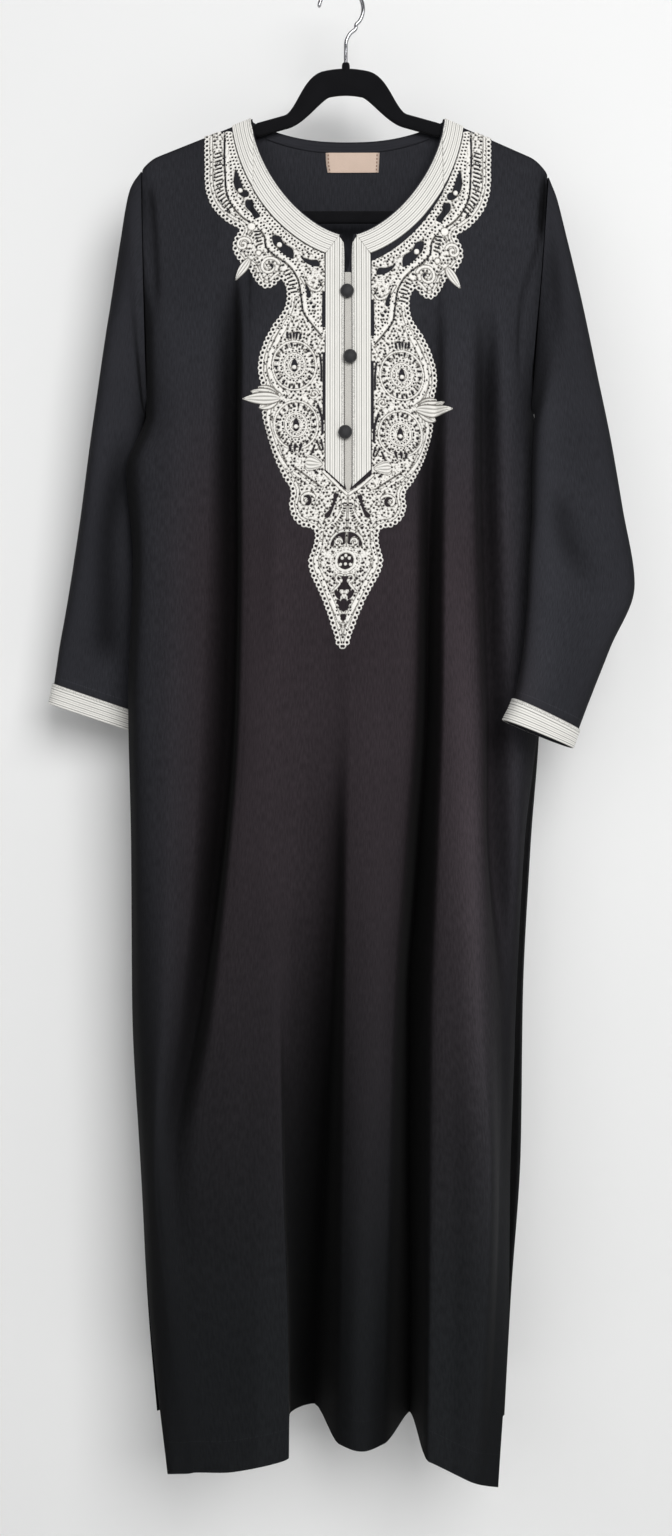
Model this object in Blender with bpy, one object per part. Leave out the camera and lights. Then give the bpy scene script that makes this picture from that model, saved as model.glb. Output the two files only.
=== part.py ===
"""A kaftan on its hanger, in metres, +Z up, with the front towards -Y.

The origin is the inner top of the hanger's hook, where it hangs on a rod. Sizes are in millimetres here,
as a tailor would write them: `across` runs to the viewer's right, `depth` away from the viewer, and
`drop` downwards from the origin. to_metres turns them into Blender's coordinates.
"""

import math
from typing import NamedTuple

import bmesh
import bpy
import numpy as np
from mathutils import Vector
from mathutils.bvhtree import BVHTree
from mathutils.geometry import delaunay_2d_cdt

# Driving dimensions, in millimetres
MM = 0.001
CLOTH = 2.0
SEAM_GAP = 0.4
SNAP = 0.02
SEW_LIFT = 0.6
BRAID_THICK = 1.6
STRIP_THICK = 1.0
NECK_BAND_THICK = 1.0
LABEL_THICK = 0.8
LACE_THICK = 1.2

CENTRE = 7.0
NECK_DROP = 136.5
NECK_HALF = 99.0
NECK_DEEP = 130.0
NECK_ROUNDNESS = 1.62
SLIT_FOOT_DROP = 304.0

LEFT_TIP = -206.0
RIGHT_TIP = 214.0
LEFT_SLOPE = 0.40
RIGHT_SLOPE = 0.44
BACK_NECK_DEEP = 18.5
UNDERARM_DROP = 430.0
LEFT_UNDERARM = -200.0
RIGHT_UNDERARM = 197.2
ARMHOLE_HALF_DEPTH = 14.0
ARMHOLE_ROUNDNESS = 2.5
SHOULDER_ROUND = 5.0
SEAM_ROLL = 1.2
CHEST_DROP = 290.0
CHEST_DEPTH = 33.0
HALF_CHEST = 205.0
CHEST_ROUNDNESS = 2.2

BRAID_WIDTH = 24.0
BRAID_INSET = 1.5
PLACKET_INNER = 4.0
PLACKET_OUTER = 23.0
PLACKET_TAPER_DROP = 510.0
PLACKET_POINT_DROP = 533.0
LACE_GAP = 0.5
LACE_SPLIT_DROP = 560.5
RIGHT_LACE_SAG = 9.0

BUTTON_ACROSS = 14.0
BUTTON_THICK = 9.0
BUTTON_FLAT = 2.9
BUTTON_LIFT = 0.5

HANGER_HALF_DEPTH = 3.0
ARM_HALF_HEIGHT = 7.0
ARCH_HALF_HEIGHT = 14.0
BAR_DROP = 237.5
BAR_HALF_HEIGHT = 6.5
UNDER_SHOULDER = 3.1
HOOK_STEM_ACROSS = 5.0
WIRE_RADIUS = 2.1
HOOK_RADIUS = 23.0


class Fold(NamedTuple):
    """One fold line of a panel: where it lies at each of the heights in STATIONS."""

    name: str
    across: tuple
    depth: tuple


class Ground(NamedTuple):
    """A panel's face as things are laid on it: a tree that finds its depth, and its triangles' edges."""

    tree: BVHTree
    edges: list


class Ring(NamedTuple):
    """One ring of a sleeve, given by its outer and inner edge and how far it stands open."""

    outer_across: float
    outer_depth: float
    outer_drop: float
    inner_across: float
    inner_depth: float
    inner_drop: float
    half_open: float


# Drops at which the fold lines are given: bust, underarm, waist, hip, thigh, knee and down to the hem
STATIONS = (365, 448, 500, 594, 739, 895, 1051, 1207, 1363, 1519)

FRONT_FOLDS = (
    Fold(
        "left seam",
        (-201.6, -203, -223, -216, -221, -218, -217, -209, -195, -172),
        (-13, -1.2, -1.2, -1.2, -1.2, -1.2, -1.2, -1.2, -32, -65),
    ),
    Fold(
        "left flank",
        (-159, -160, -161, -163, -167, -171, -177, -187, -171, -150),
        (-30, -34, -36, -38, -42, -45, -46, -45, -60, -72),
    ),
    Fold(
        "left valley",
        (-113, -113, -113, -114, -119, -130, -148, -170, -153, -134),
        (-20, -18, -17, -16, -14, -16, -25, -47, -66, -76),
    ),
    Fold(
        "left lip",
        (-101, -101, -101, -101, -103, -113, -128, -146, -130, -112),
        (-38, -42, -44, -46, -50, -54, -58, -62, -72, -80),
    ),
    Fold(
        "left ridge",
        (-56, -58, -60, -63, -69, -71, -66, -59, -53, -52),
        (-42, -46, -48, -52, -56, -62, -68, -74, -80, -84),
    ),
    Fold(
        "centre valley",
        (-11, -11, -11, -11, -9, -7, -13, -24, -32, -37),
        (-42, -46, -48, -50, -52, -48, -34, -12, 8, 20),
    ),
    Fold(
        "centre lobe",
        (31, 31, 32, 33, 35, 33, 29, 25, 22, 20),
        (-42, -46, -48, -52, -56, -58, -58, -52, -46, -42),
    ),
    Fold(
        "right valley",
        (102, 101, 96, 84, 79, 73, 69, 71, 73, 75),
        (-31, -28, -25, -20, -14, -10, -4, 4, 12, 18),
    ),
    Fold(
        "right lip",
        (113, 112, 108, 100, 97, 93, 89, 87, 85, 85),
        (-35, -39, -42, -47, -52, -58, -64, -72, -80, -84),
    ),
    Fold(
        "right ridge",
        (134, 131, 127, 121, 122, 128, 135, 143, 138, 127),
        (-33, -37, -40, -43, -46, -50, -54, -58, -70, -78),
    ),
    Fold(
        "side valley",
        (171, 172, 173, 175, 176, 172, 170, 166, 158, 145),
        (-20, -16, -15, -14, -14, -14, -14, -22, -52, -72),
    ),
    Fold(
        "right seam",
        (199.8, 201, 207.5, 209, 206, 190, 182, 176, 170, 156),
        (-13, -1.2, -1.2, -1.2, -1.2, -1.2, -1.2, -1.2, -34, -66),
    ),
)
BACK_FOLDS = (
    Fold(
        "left seam",
        (-201.6, -203, -223, -216, -221, -218, -217, -209, -202, -190),
        (13, 1.2, 1.2, 1.2, 1.2, 1.2, 1.2, 1.2, 6, 14),
    ),
    Fold(
        "ridge 1",
        (-150, -152, -154, -158, -162, -164, -162, -156, -150, -146),
        (32, 34, 35, 36, 40, 46, 50, 54, 58, 62),
    ),
    Fold(
        "valley 1",
        (-100, -100, -101, -102, -104, -104, -102, -98, -96, -94),
        (31, 29, 27, 25, 22, 20, 18, 16, 16, 16),
    ),
    Fold(
        "ridge 2",
        (-45, -45, -45, -46, -48, -50, -48, -46, -44, -42),
        (34, 36, 38, 42, 48, 54, 60, 64, 68, 70),
    ),
    Fold(
        "valley 2",
        (10, 10, 11, 12, 14, 16, 18, 18, 18, 18),
        (33, 31, 29, 26, 24, 22, 20, 20, 20, 20),
    ),
    Fold(
        "ridge 3",
        (62, 62, 63, 64, 66, 68, 70, 72, 74, 76),
        (34, 36, 38, 42, 48, 54, 60, 64, 68, 72),
    ),
    Fold(
        "valley 3",
        (112, 110, 110, 110, 112, 114, 116, 116, 114, 112),
        (30, 28, 27, 24, 22, 18, 17, 17, 18, 20),
    ),
    Fold(
        "ridge 4",
        (155, 152, 153, 156, 158, 157, 154, 150, 144, 138),
        (29, 30, 32, 36, 40, 46, 50, 54, 58, 60),
    ),
    Fold(
        "right turn",
        (190, 196, 204, 208, 208, 198, 190, 188, 178, 170),
        (19, 13, 13, 14, 16, 15, 14, 14, 18, 22),
    ),
    Fold(
        "right seam",
        (199.8, 201, 207.5, 209, 206, 190, 182, 176, 172, 166),
        (13, 1.2, 1.2, 1.2, 1.2, 1.2, 1.2, 1.2, 8, 14),
    ),
)
# Hem of each panel, one drop for each fold line
FRONT_HEM = (1513, 1509, 1506, 1504, 1488, 1477, 1491, 1490, 1492, 1513, 1521, 1525)
BACK_HEM = (1484, 1490, 1494, 1496, 1498, 1498, 1496, 1494, 1492, 1490)

# Columns of each panel: where a stretch starts at the bust, and how many columns it is cut into
FRONT_COLUMNS = (
    (-201.6, 3), (-159, 3), (-113, 1), (-101, 1), (-92, 1), (-91, 3), (-56, 3), (-11, 1), (-2, 1),
    (3, 1), (7, 1), (11, 1), (16, 1), (31, 3), (80, 2), (98, 1), (105, 1), (106, 1), (113, 2), (134, 2),
    (171, 2), (199.8, 0),
)
BACK_COLUMNS = (
    (-201.6, 3), (-150, 3), (-100, 1), (-92, 1), (-91, 3), (-45, 4), (10, 4), (62, 3), (105, 1),
    (106, 1), (112, 3), (155, 2), (190, 1), (199.8, 0),
)
# Rows of each panel, as shares of the length from its top edge to its hem, after the rounded shoulder
FRONT_ROWS = (
    0.018, 0.045, 0.08, 0.115, 0.15, 0.1823, 0.215, 0.26, 0.32, 0.38, 0.44, 0.50, 0.57,
    0.64, 0.71, 0.78, 0.85, 0.92, 0.968, 1.0,
)
BACK_ROWS = (
    0.02, 0.05, 0.09, 0.135, 0.1867, 0.21, 0.24, 0.30, 0.38, 0.46, 0.54, 0.62, 0.70, 0.78, 0.86, 0.93, 1.0,
)

LEFT_RINGS = (
    Ring(-206.9, 0, 191, -201.2, 0, 431, 14),
    Ring(-218, 2, 208, -204, 3, 436, 17),
    Ring(-229, 5, 262, -205.5, 15, 444, 20),
    Ring(-241, 8, 335, -208, 24, 460, 22),
    Ring(-252, 10, 404, -211, 34, 486, 23),
    Ring(-262, 12, 470, -213, 42, 530, 23),
    Ring(-273, 14, 552, -213, 46, 592, 23),
    Ring(-286, 18, 633, -212, 56, 655, 21),
    Ring(-295.5, 20, 684, -211, 60, 708, 19),
    Ring(-301.5, 22, 721.5, -210, 61, 753, 18),
    Ring(-306, 23, 743, -209, 62, 776, 18),
)
RIGHT_RINGS = (
    Ring(214.9, 0, 197, 198.6, 0, 431, 14),
    Ring(222, -3, 216, 200.8, -7, 437, 13.5),
    Ring(233, -9, 265, 200, -18.5, 448, 15),
    Ring(247, -15, 332, 198, -28, 470, 18),
    Ring(262, -22, 413, 196, -34, 512, 19),
    Ring(273, -29, 475, 195, -39, 552, 19),
    Ring(284, -36, 548, 192, -43, 594, 18),
    Ring(295, -42, 624, 189, -48, 644, 18),
    Ring(269, -44, 690, 184, -56, 690, 18),
    Ring(237, -41, 770, 174, -70, 742, 18),
    Ring(230, -40, 789, 164, -72, 764, 18),
)
SLEEVE_RINGS = 13
SLEEVE_SIDES = 20

# Left half of the lace: its free edge, from the shoulder seam down to where the pendant starts
LACE_EDGE = (
    (148, 159), (147, 190), (146, 215), (139, 235), (129, 247), (119, 255), (111, 262), (117, 274),
    (112, 289), (114, 314), (103, 303), (97, 305), (92, 316), (82, 323), (70, 314), (63, 324),
    (62, 336), (65, 348), (75, 362), (85, 381), (90, 400), (90, 410), (87, 421), (105, 436),
    (87, 451), (82, 471), (76, 492), (66, 516), (55, 534), (58, 548), (57, 560),
)
# Left half of the pendant, from its top to its tip
PENDANT_EDGE = (
    (56, 561), (46, 568), (32, 572), (32, 586), (37, 603), (35, 614), (26, 631), (15, 659), (9, 675),
    (0, 690),
)


class Gap(NamedTuple):
    """A drop-shaped gap in the lace, given by its middle, its size and how it is turned."""

    across: float
    drop: float
    length: float
    width: float
    turn: float


LACE_GAPS = (
    Gap(140, 172, 8, 6, 0), Gap(140, 185, 8, 6, 0), Gap(139, 198, 8, 6, 0), Gap(138, 211, 8, 6, 10),
    Gap(132, 224, 8, 6, 35), Gap(124, 176, 20, 7, 8), Gap(113, 210, 24, 8, 22), Gap(98, 242, 22, 8, 34),
    Gap(107, 279, 11, 6, -10), Gap(75, 272, 22, 8, 50), Gap(91, 296, 11, 6, 20), Gap(46, 296, 20, 7, 68),
    Gap(48, 322, 14, 7, 10), Gap(34, 332, 14, 6, -12), Gap(50, 356, 13, 6, 20), Gap(33, 368, 14, 6, 8),
    Gap(68, 374, 14, 6, 40), Gap(56, 406, 16, 8, 0), Gap(76, 406, 15, 6, 0), Gap(35, 406, 13, 6, 0),
    Gap(90, 436, 12, 5, 90), Gap(66, 437, 13, 6, -30), Gap(36, 438, 13, 6, 12), Gap(55, 472, 16, 8, 0),
    Gap(72, 474, 14, 5, -14), Gap(35, 478, 14, 6, 0), Gap(58, 505, 13, 6, -35), Gap(37, 512, 14, 6, -10),
    Gap(42, 543, 14, 6, -20), Gap(20, 544, 13, 6, 35),
)
PENDANT_GAPS = (
    Gap(0, 580, 15, 12, 0), Gap(20, 587, 14, 6, -20), Gap(22, 607, 12, 6, 25), Gap(8, 612, 12, 5, 20),
    Gap(11, 637, 13, 6, 15), Gap(0, 657, 14, 6, 0),
)
LABEL = ((-16, 167.5), (12, 167.5), (40, 167.5), (39, 187.5), (12, 188), (-14, 187.5))
BUTTONS = (("button_top", 6, 328), ("button_middle", 9, 396), ("button_low", 4, 473))


def clear_scene():
    for obj in list(bpy.data.objects):
        bpy.data.objects.remove(obj)


def material(name, colour, roughness, metallic=0.0):
    made = bpy.data.materials.new(name)
    made.use_nodes = True
    shader = made.node_tree.nodes["Principled BSDF"]
    shader.inputs["Base Color"].default_value = (*colour, 1.0)
    shader.inputs["Roughness"].default_value = roughness
    shader.inputs["Metallic"].default_value = metallic
    return made


def smooth_through(knots, values, at):
    """A smooth curve through the values at the knots that never overshoots them, read at `at`."""
    knots = np.asarray(knots, float)
    values = np.asarray(values, float)
    steps = np.diff(knots)
    rises = np.diff(values) / steps
    product = rises[:-1] * rises[1:]
    total = rises[:-1] + rises[1:]
    inner = np.where(product > 0, 2 * product / np.where(total == 0, 1, total), 0)
    slopes = np.concatenate([rises[:1], inner, rises[-1:]])
    place = np.clip(np.searchsorted(knots, at, side="right") - 1, 0, len(knots) - 2)
    t = (np.asarray(at, float) - knots[place]) / steps[place]
    back = 1 - t
    return (
        (1 + 2 * t) * back**2 * values[place]
        + t * back**2 * steps[place] * slopes[place]
        + t**2 * (3 - 2 * t) * values[place + 1]
        - t**2 * back * steps[place] * slopes[place + 1]
    )


def shoulder_drop(across):
    """The shoulder seam's drop, with the fall of its rounded tip."""
    out = abs(across - CENTRE)
    if across < CENTRE:
        slope, fall, round_from, round_length = LEFT_SLOPE, 7.0, 196.0, 17.0
    else:
        slope, fall, round_from, round_length = RIGHT_SLOPE, 10.0, 188.0, 19.0
    tip = max(0.0, out - round_from) / round_length
    return NECK_DROP + slope * (out - NECK_HALF) + fall * tip**2


def neckline_drop(across):
    """The front neckline's drop between the two neck points, with the slit at its middle."""
    out = min(abs(across - CENTRE), NECK_HALF)
    deep = (1 - (out / NECK_HALF) ** NECK_ROUNDNESS) ** (1 / NECK_ROUNDNESS)
    round_drop = NECK_DROP + NECK_DEEP * deep
    slit = np.interp(out, (0, PLACKET_INNER, 9), (SLIT_FOOT_DROP, 276, 0))
    return max(round_drop, slit)


def back_neck_drop(across):
    out = min(abs(across - CENTRE) / NECK_HALF, 1)
    return NECK_DROP + BACK_NECK_DEEP * (1 - out**2.4)


def armhole_half_depth(drop, tip_drop):
    """How far the armhole stands open towards the front, and as far towards the back, at a drop."""
    share = abs(2 * (drop - tip_drop) / (UNDERARM_DROP - tip_drop) - 1)
    return ARMHOLE_HALF_DEPTH * max(0.0, 1 - min(share, 1) ** ARMHOLE_ROUNDNESS) ** (1 / ARMHOLE_ROUNDNESS)


def bust_places(folds):
    """Places along the fold lines, and the across of each at the bust."""
    places = np.linspace(0, len(folds) - 1, 600)
    return places, smooth_through(range(len(folds)), [f.across[0] for f in folds], places)


def panel_column(folds, hem, bust_across, is_front):
    """The knots of one column, from the panel's top edge to its hem, as drops, acrosses and depths."""
    sign = -1 if is_front else 1
    places, at_bust = bust_places(folds)
    place = float(np.interp(bust_across, at_bust, places))
    lines = range(len(folds))
    heights = range(len(STATIONS))
    acrosses = [float(smooth_through(lines, [f.across[k] for f in folds], place)) for k in heights]
    depths = [float(smooth_through(lines, [f.depth[k] for f in folds], place)) for k in heights]
    stations = list(STATIONS)
    if place in (0, len(folds) - 1):
        stations[0] = UNDERARM_DROP
        acrosses[0] = LEFT_UNDERARM if place == 0 else RIGHT_UNDERARM
        depths[0] = sign * (CLOTH + SEAM_GAP) / 2
    left_neck, right_neck = CENTRE - NECK_HALF, CENTRE + NECK_HALF
    left_reach = max(0.0, (left_neck - bust_across) / (left_neck - folds[0].across[0]))
    right_reach = max(0.0, (bust_across - right_neck) / (folds[-1].across[0] - right_neck))
    top_across = (
        bust_across
        + (LEFT_TIP - folds[0].across[0]) * left_reach**2
        + (RIGHT_TIP - folds[-1].across[0]) * right_reach**2
    )
    on_shoulder = abs(top_across - CENTRE) >= NECK_HALF - 0.01
    outward = abs(bust_across / HALF_CHEST) ** CHEST_ROUNDNESS
    base = CHEST_DEPTH - (CHEST_DEPTH - ARMHOLE_HALF_DEPTH) * outward
    if on_shoulder:
        top = shoulder_drop(top_across)
        r = SHOULDER_ROUND
        below = (top + 40, r + 0.35 * (base - r))
        head = [(top, SEAM_GAP / 2), (top + SEAM_ROLL, 3.2), (top + r, r), below]
    else:
        top = neckline_drop(top_across) if is_front else back_neck_drop(top_across)
        edge = 5 + 0.17 * (top - NECK_DROP) if is_front else 5 + 0.3 * (top - NECK_DROP)
        head = [(top, edge)]
    drops = [drop for drop, _ in head]
    head_depths = [sign * depth for _, depth in head]
    if drops[-1] < CHEST_DROP - 15:
        drops.append(CHEST_DROP)
        head_depths.append(sign * base)
    lean = (top_across - acrosses[0]) / (stations[0] - top)
    head_across = [acrosses[0] + lean * (stations[0] - drop) for drop in drops]
    foot = float(smooth_through(lines, hem, place))
    return (
        np.array([*drops, *stations[:-1], max(foot, stations[-1])]),
        np.array([*head_across, *acrosses]),
        np.array([*head_depths, *depths]),
        top,
        foot,
        on_shoulder,
    )


def panel_surface(folds, hem, columns, rows, is_front):
    """Middle of a panel's cloth as a grid of points, and the directions of its thickness."""
    sign = -1 if is_front else 1
    busts = [
        start + (after - start) * k / count
        for (start, count), (after, _) in zip(columns, columns[1:])
        for k in range(count)
    ] + [columns[-1][0]]
    grid = []
    shoulders = []
    for index, bust in enumerate(busts):
        drops, acrosses, depths, top, foot, on_shoulder = panel_column(folds, hem, bust, is_front)
        near = (0, SEAM_ROLL / (foot - top), SHOULDER_ROUND / (foot - top))
        at = top + (foot - top) * np.array([*near, *rows])
        across = smooth_through(drops, acrosses, at)
        depth = smooth_through(drops, depths, at)
        if index in (0, len(busts) - 1):
            open_to = [armhole_half_depth(drop, top) for drop in at]
            in_armhole = at < UNDERARM_DROP
            seam = CLOTH / 2 + SEAM_GAP / 2
            depth = np.where(in_armhole, sign * np.maximum(open_to, seam), depth)
        grid.append(np.stack([across, depth, at], axis=1))
        shoulders.append(on_shoulder)
    points = np.stack(grid, axis=1)
    across_step = np.gradient(points, axis=1)
    down_step = np.gradient(points, axis=0)
    turned = np.cross(across_step, down_step)
    if is_front:
        turned = -turned
    turned *= -1
    turned /= np.linalg.norm(turned, axis=2, keepdims=True)
    turned[:, 0] = (0, sign, 0)
    turned[:, -1] = (0, sign, 0)
    turned[0, shoulders] = (0, 0, -1)
    return points, turned


def to_metres(point):
    """(across, depth, drop) in millimetres as Blender's (x, y, z) in metres."""
    return (point[0] * MM, point[1] * MM, -point[2] * MM)


def body_object(name, points, faces, finish):
    """A closed body from its points and faces, turned to face outwards."""
    mesh = bpy.data.meshes.new(name)
    mesh.from_pydata([to_metres(point) for point in points], [], faces)
    work = bmesh.new()
    work.from_mesh(mesh)
    bmesh.ops.recalc_face_normals(work, faces=work.faces)
    work.to_mesh(mesh)
    work.free()
    mesh.materials.append(finish)
    mesh.shade_smooth()
    mesh.set_sharp_from_angle(angle=math.radians(50))
    obj = bpy.data.objects.new(name, mesh)
    bpy.context.collection.objects.link(obj)
    return obj


def wall(name, outer, inner, finish, closed_round):
    """A wall between two grids of points. A wall that is closed round is a tube."""
    rows, columns = outer.shape[:2]
    span = columns if closed_round else columns - 1
    count = rows * columns

    def at(side, row, column):
        return side * count + row * columns + column % columns

    faces = []
    for row in range(rows - 1):
        for column in range(span):
            for side in (0, 1):
                near, far = at(side, row, column), at(side, row + 1, column + 1)
                faces.append([near, at(side, row, column + 1), far])
                faces.append([near, far, at(side, row + 1, column)])
    for row in (0, rows - 1):
        for column in range(span):
            near, far = at(0, row, column), at(1, row, column + 1)
            faces.append([near, at(0, row, column + 1), far, at(1, row, column)])
    if not closed_round:
        for column in (0, columns - 1):
            for row in range(rows - 1):
                near, far = at(0, row, column), at(1, row + 1, column)
                faces.append([near, at(0, row + 1, column), far, at(1, row, column)])
    points = np.concatenate([outer.reshape(-1, 3), inner.reshape(-1, 3)])
    return body_object(name, points, faces, finish)


def make_panel(name, folds, hem, columns, rows, is_front, finish):
    points, turned = panel_surface(folds, hem, columns, rows, is_front)
    outer = points + turned * CLOTH / 2
    inner = points - turned * CLOTH / 2
    wall(name, outer, inner, finish, closed_round=False)
    return outer, inner


def ground_of(grid):
    """A grid of points, in millimetres, as the ground that things are laid on."""
    rows, columns = grid.shape[:2]
    faces = []
    for row in range(rows - 1):
        for column in range(columns - 1):
            first = row * columns + column
            faces.append((first, first + 1, first + columns + 1))
            faces.append((first, first + columns + 1, first + columns))
    points = grid.reshape(-1, 3)
    pairs = sorted({tuple(sorted(pair)) for a, b, c in faces for pair in ((a, b), (b, c), (c, a))})
    edges = [((points[a][0], points[a][2]), (points[b][0], points[b][2])) for a, b in pairs]
    return Ground(BVHTree.FromPolygons([Vector(p) for p in points], faces), edges)


def depth_on(tree, across, drop, from_front=True):
    """The depth at which a line of sight along the depth meets the grid."""
    start, direction = ((-500, 1) if from_front else (500, -1))
    hit = tree.ray_cast(Vector((across, start, drop)), Vector((0, direction, 0)))[0]
    if hit is None:
        hit = tree.find_nearest(Vector((across, -20.0 if from_front else 8.0, drop)))[0]
    return hit[1]


def inside(loop, across, drop):
    """Whether a place is inside a closed loop of places."""
    found = False
    for (x0, z0), (x1, z1) in zip(loop, loop[1:] + loop[:1]):
        if (z0 > drop) != (z1 > drop) and across < x0 + (x1 - x0) * (drop - z0) / (z1 - z0):
            found = not found
    return found


def near_loop(edges, loop):
    """The edges that come near a loop of places."""
    low, high = np.min(loop, axis=0), np.max(loop, axis=0)
    return [
        edge for edge in edges if (np.max(edge, axis=0) > low).all() and (np.min(edge, axis=0) < high).all()
    ]


def cut_triangles(outline, gaps, ground_edges):
    """Triangles that fill an outline but not its gaps, each within one triangle of the ground."""
    places = []
    edges = []
    for loop in (outline, *gaps):
        first = len(places)
        places += loop
        edges += [(first + k, first + (k + 1) % len(loop)) for k in range(len(loop))]
    for edge in near_loop(ground_edges, outline):
        edges.append((len(places), len(places) + 1))
        places += edge
    found, _, triangles, *_ = delaunay_2d_cdt([Vector(p) for p in places], edges, [], 1, SNAP, False)
    found = [(p[0], p[1]) for p in found]
    kept = []
    for triangle in triangles:
        middle = np.mean([found[k] for k in triangle], axis=0)
        if inside(outline, *middle) and not any(inside(gap, *middle) for gap in gaps):
            kept.append(tuple(triangle))
    return found, kept


def laid_piece(name, ground, outline, finish, thick, gaps=(), from_front=True):
    """A flat piece, with its gaps, laid on a panel: its points are the panel's, moved out."""
    sign = -1 if from_front else 1
    found, kept = cut_triangles(outline, gaps, ground.edges)
    used = sorted({k for triangle in kept for k in triangle})
    renumber = {old: new for new, old in enumerate(used)}
    kept = [[renumber[k] for k in triangle] for triangle in kept]
    lift = sign * SEW_LIFT
    laid = [
        (found[k][0], depth_on(ground.tree, *found[k], from_front) + lift, found[k][1]) for k in used
    ]
    raised = [(x, y + sign * thick, z) for x, y, z in laid]
    count = len(used)
    sides = {(a, b) for triangle in kept for a, b in zip(triangle, triangle[1:] + triangle[:1])}
    rims = [[a, b, b + count, a + count] for a, b in sorted(sides) if (b, a) not in sides]
    faces = kept + [[k + count for k in triangle[::-1]] for triangle in kept] + rims
    return body_object(name, laid + raised, faces, finish)


def neck_curve(count, inset, side, end_share=1.0):
    """Places along the round neckline, from the neck point to the slit, moved into the cloth by inset."""
    power = 2 / NECK_ROUNDNESS
    fine = np.linspace(0, math.pi / 2, 400)
    out = NECK_HALF * np.cos(fine) ** power
    drop = NECK_DROP + NECK_DEEP * np.sin(fine) ** power
    step_out, step_drop = np.gradient(out), np.gradient(drop)
    size = np.hypot(step_out, step_drop)
    out, drop = out + inset * step_drop / size, drop - inset * step_out / size
    length = np.concatenate([[0], np.cumsum(np.hypot(np.diff(out), np.diff(drop)))])
    at = np.linspace(0, end_share, count) * length[-1]
    return [
        (CENTRE + side * float(o), float(d))
        for o, d in zip(np.interp(at, length, out), np.interp(at, length, drop))
    ]


def clipped_at_shoulder(places, clearance):
    """Places no higher than the shoulder seam, kept a little below it."""
    return [(x, max(z, shoulder_drop(x) + clearance)) for x, z in places]


def neckband_outline(side):
    inner = [p for p in neck_curve(15, BRAID_INSET, side) if abs(p[0] - CENTRE) > 9]
    beside = neck_curve(15, BRAID_INSET + BRAID_WIDTH, side)
    outer = [p for p in beside if abs(p[0] - CENTRE) > PLACKET_OUTER]
    inner.append((CENTRE + side * 9.5, NECK_DROP + NECK_DEEP + BRAID_INSET))
    outer.append((CENTRE + side * PLACKET_OUTER, NECK_DROP + NECK_DEEP + 21))
    return clipped_at_shoulder(inner + outer[::-1], 7.0)


def placket_outline(side):
    top = NECK_DROP + NECK_DEEP
    return [
        (CENTRE + side * 9.2, top + BRAID_INSET + 0.8),
        (CENTRE + side * PLACKET_INNER, top + 12),
        *[(CENTRE + side * PLACKET_INNER, float(z)) for z in np.linspace(300, PLACKET_POINT_DROP - 6, 9)],
        (CENTRE + side * PLACKET_OUTER, PLACKET_TAPER_DROP),
        *[(CENTRE + side * PLACKET_OUTER, float(z)) for z in np.linspace(480, 310, 7)],
        (CENTRE + side * (PLACKET_OUTER - 0.3), top + 21.8),
    ]


def strip_outline():
    half = PLACKET_INNER - 0.35
    down = [float(z) for z in np.linspace(SLIT_FOOT_DROP + 3, PLACKET_POINT_DROP - 6, 9)]
    return (
        [(CENTRE - half, z) for z in down]
        + [(CENTRE, PLACKET_POINT_DROP)]
        + [(CENTRE + half, z) for z in down[::-1]]
    )


def sagged(across, drop, side):
    """The lace on the viewer's right hangs a little lower in its middle."""
    if side < 0:
        return drop
    return drop + RIGHT_LACE_SAG * float(np.interp(drop, (190, 300, 480, LACE_SPLIT_DROP), (0, 1, 1, 0)))


def gap_loop(gap, side):
    """The places of a drop-shaped gap."""
    turn = math.radians(gap.turn)
    loop = []
    for along, aside in ((-0.5, 0.0), (-0.15, 0.36), (0.25, 0.5), (0.5, 0.0), (0.25, -0.5), (-0.15, -0.36)):
        x, z = aside * gap.width, along * gap.length
        across = gap.across + x * math.cos(turn) + z * math.sin(turn)
        drop = gap.drop + z * math.cos(turn) - x * math.sin(turn)
        loop.append((CENTRE + side * across, sagged(across, drop, side)))
    return loop


def lace_outline(side):
    edge = [(CENTRE + side * a, sagged(a, d, side)) for a, d in LACE_EDGE]
    band = [
        p
        for p in neck_curve(15, BRAID_INSET + BRAID_WIDTH + LACE_GAP + 0.6, side)
        if abs(p[0] - CENTRE) > PLACKET_OUTER + 6
    ]
    placket_side = PLACKET_OUTER + LACE_GAP
    foot = [
        (CENTRE + side * 0.3, LACE_SPLIT_DROP),
        (CENTRE + side * 0.3, PLACKET_POINT_DROP + 1.5),
        (CENTRE + side * placket_side, PLACKET_TAPER_DROP + 2.0),
    ]
    up = [(CENTRE + side * placket_side, float(z)) for z in np.linspace(475, 300, 6)]
    return clipped_at_shoulder(edge + foot + up + band[::-1], 7.0)


def pendant_outline():
    left = [(CENTRE - a, d) for a, d in PENDANT_EDGE]
    right = [(CENTRE + a, d) for a, d in PENDANT_EDGE[-2::-1]]
    return left + right


def make_trims(ground, braid, strip, lace):
    for name, side in (("left", -1), ("right", 1)):
        laid_piece(f"neckband_{name}", ground, neckband_outline(side), braid, BRAID_THICK)
        laid_piece(f"placket_{name}", ground, placket_outline(side), braid, BRAID_THICK)
        gaps = [gap_loop(gap, side) for gap in LACE_GAPS]
        laid_piece(f"lace_{name}", ground, lace_outline(side), lace, LACE_THICK, gaps)
    laid_piece("placket_strip", ground, strip_outline(), strip, STRIP_THICK)
    gaps = [gap_loop(gap, -1) for gap in PENDANT_GAPS]
    gaps += [gap_loop(gap, 1) for gap in PENDANT_GAPS if gap.across > 0]
    laid_piece("lace_pendant", ground, pendant_outline(), lace, LACE_THICK, gaps)


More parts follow.
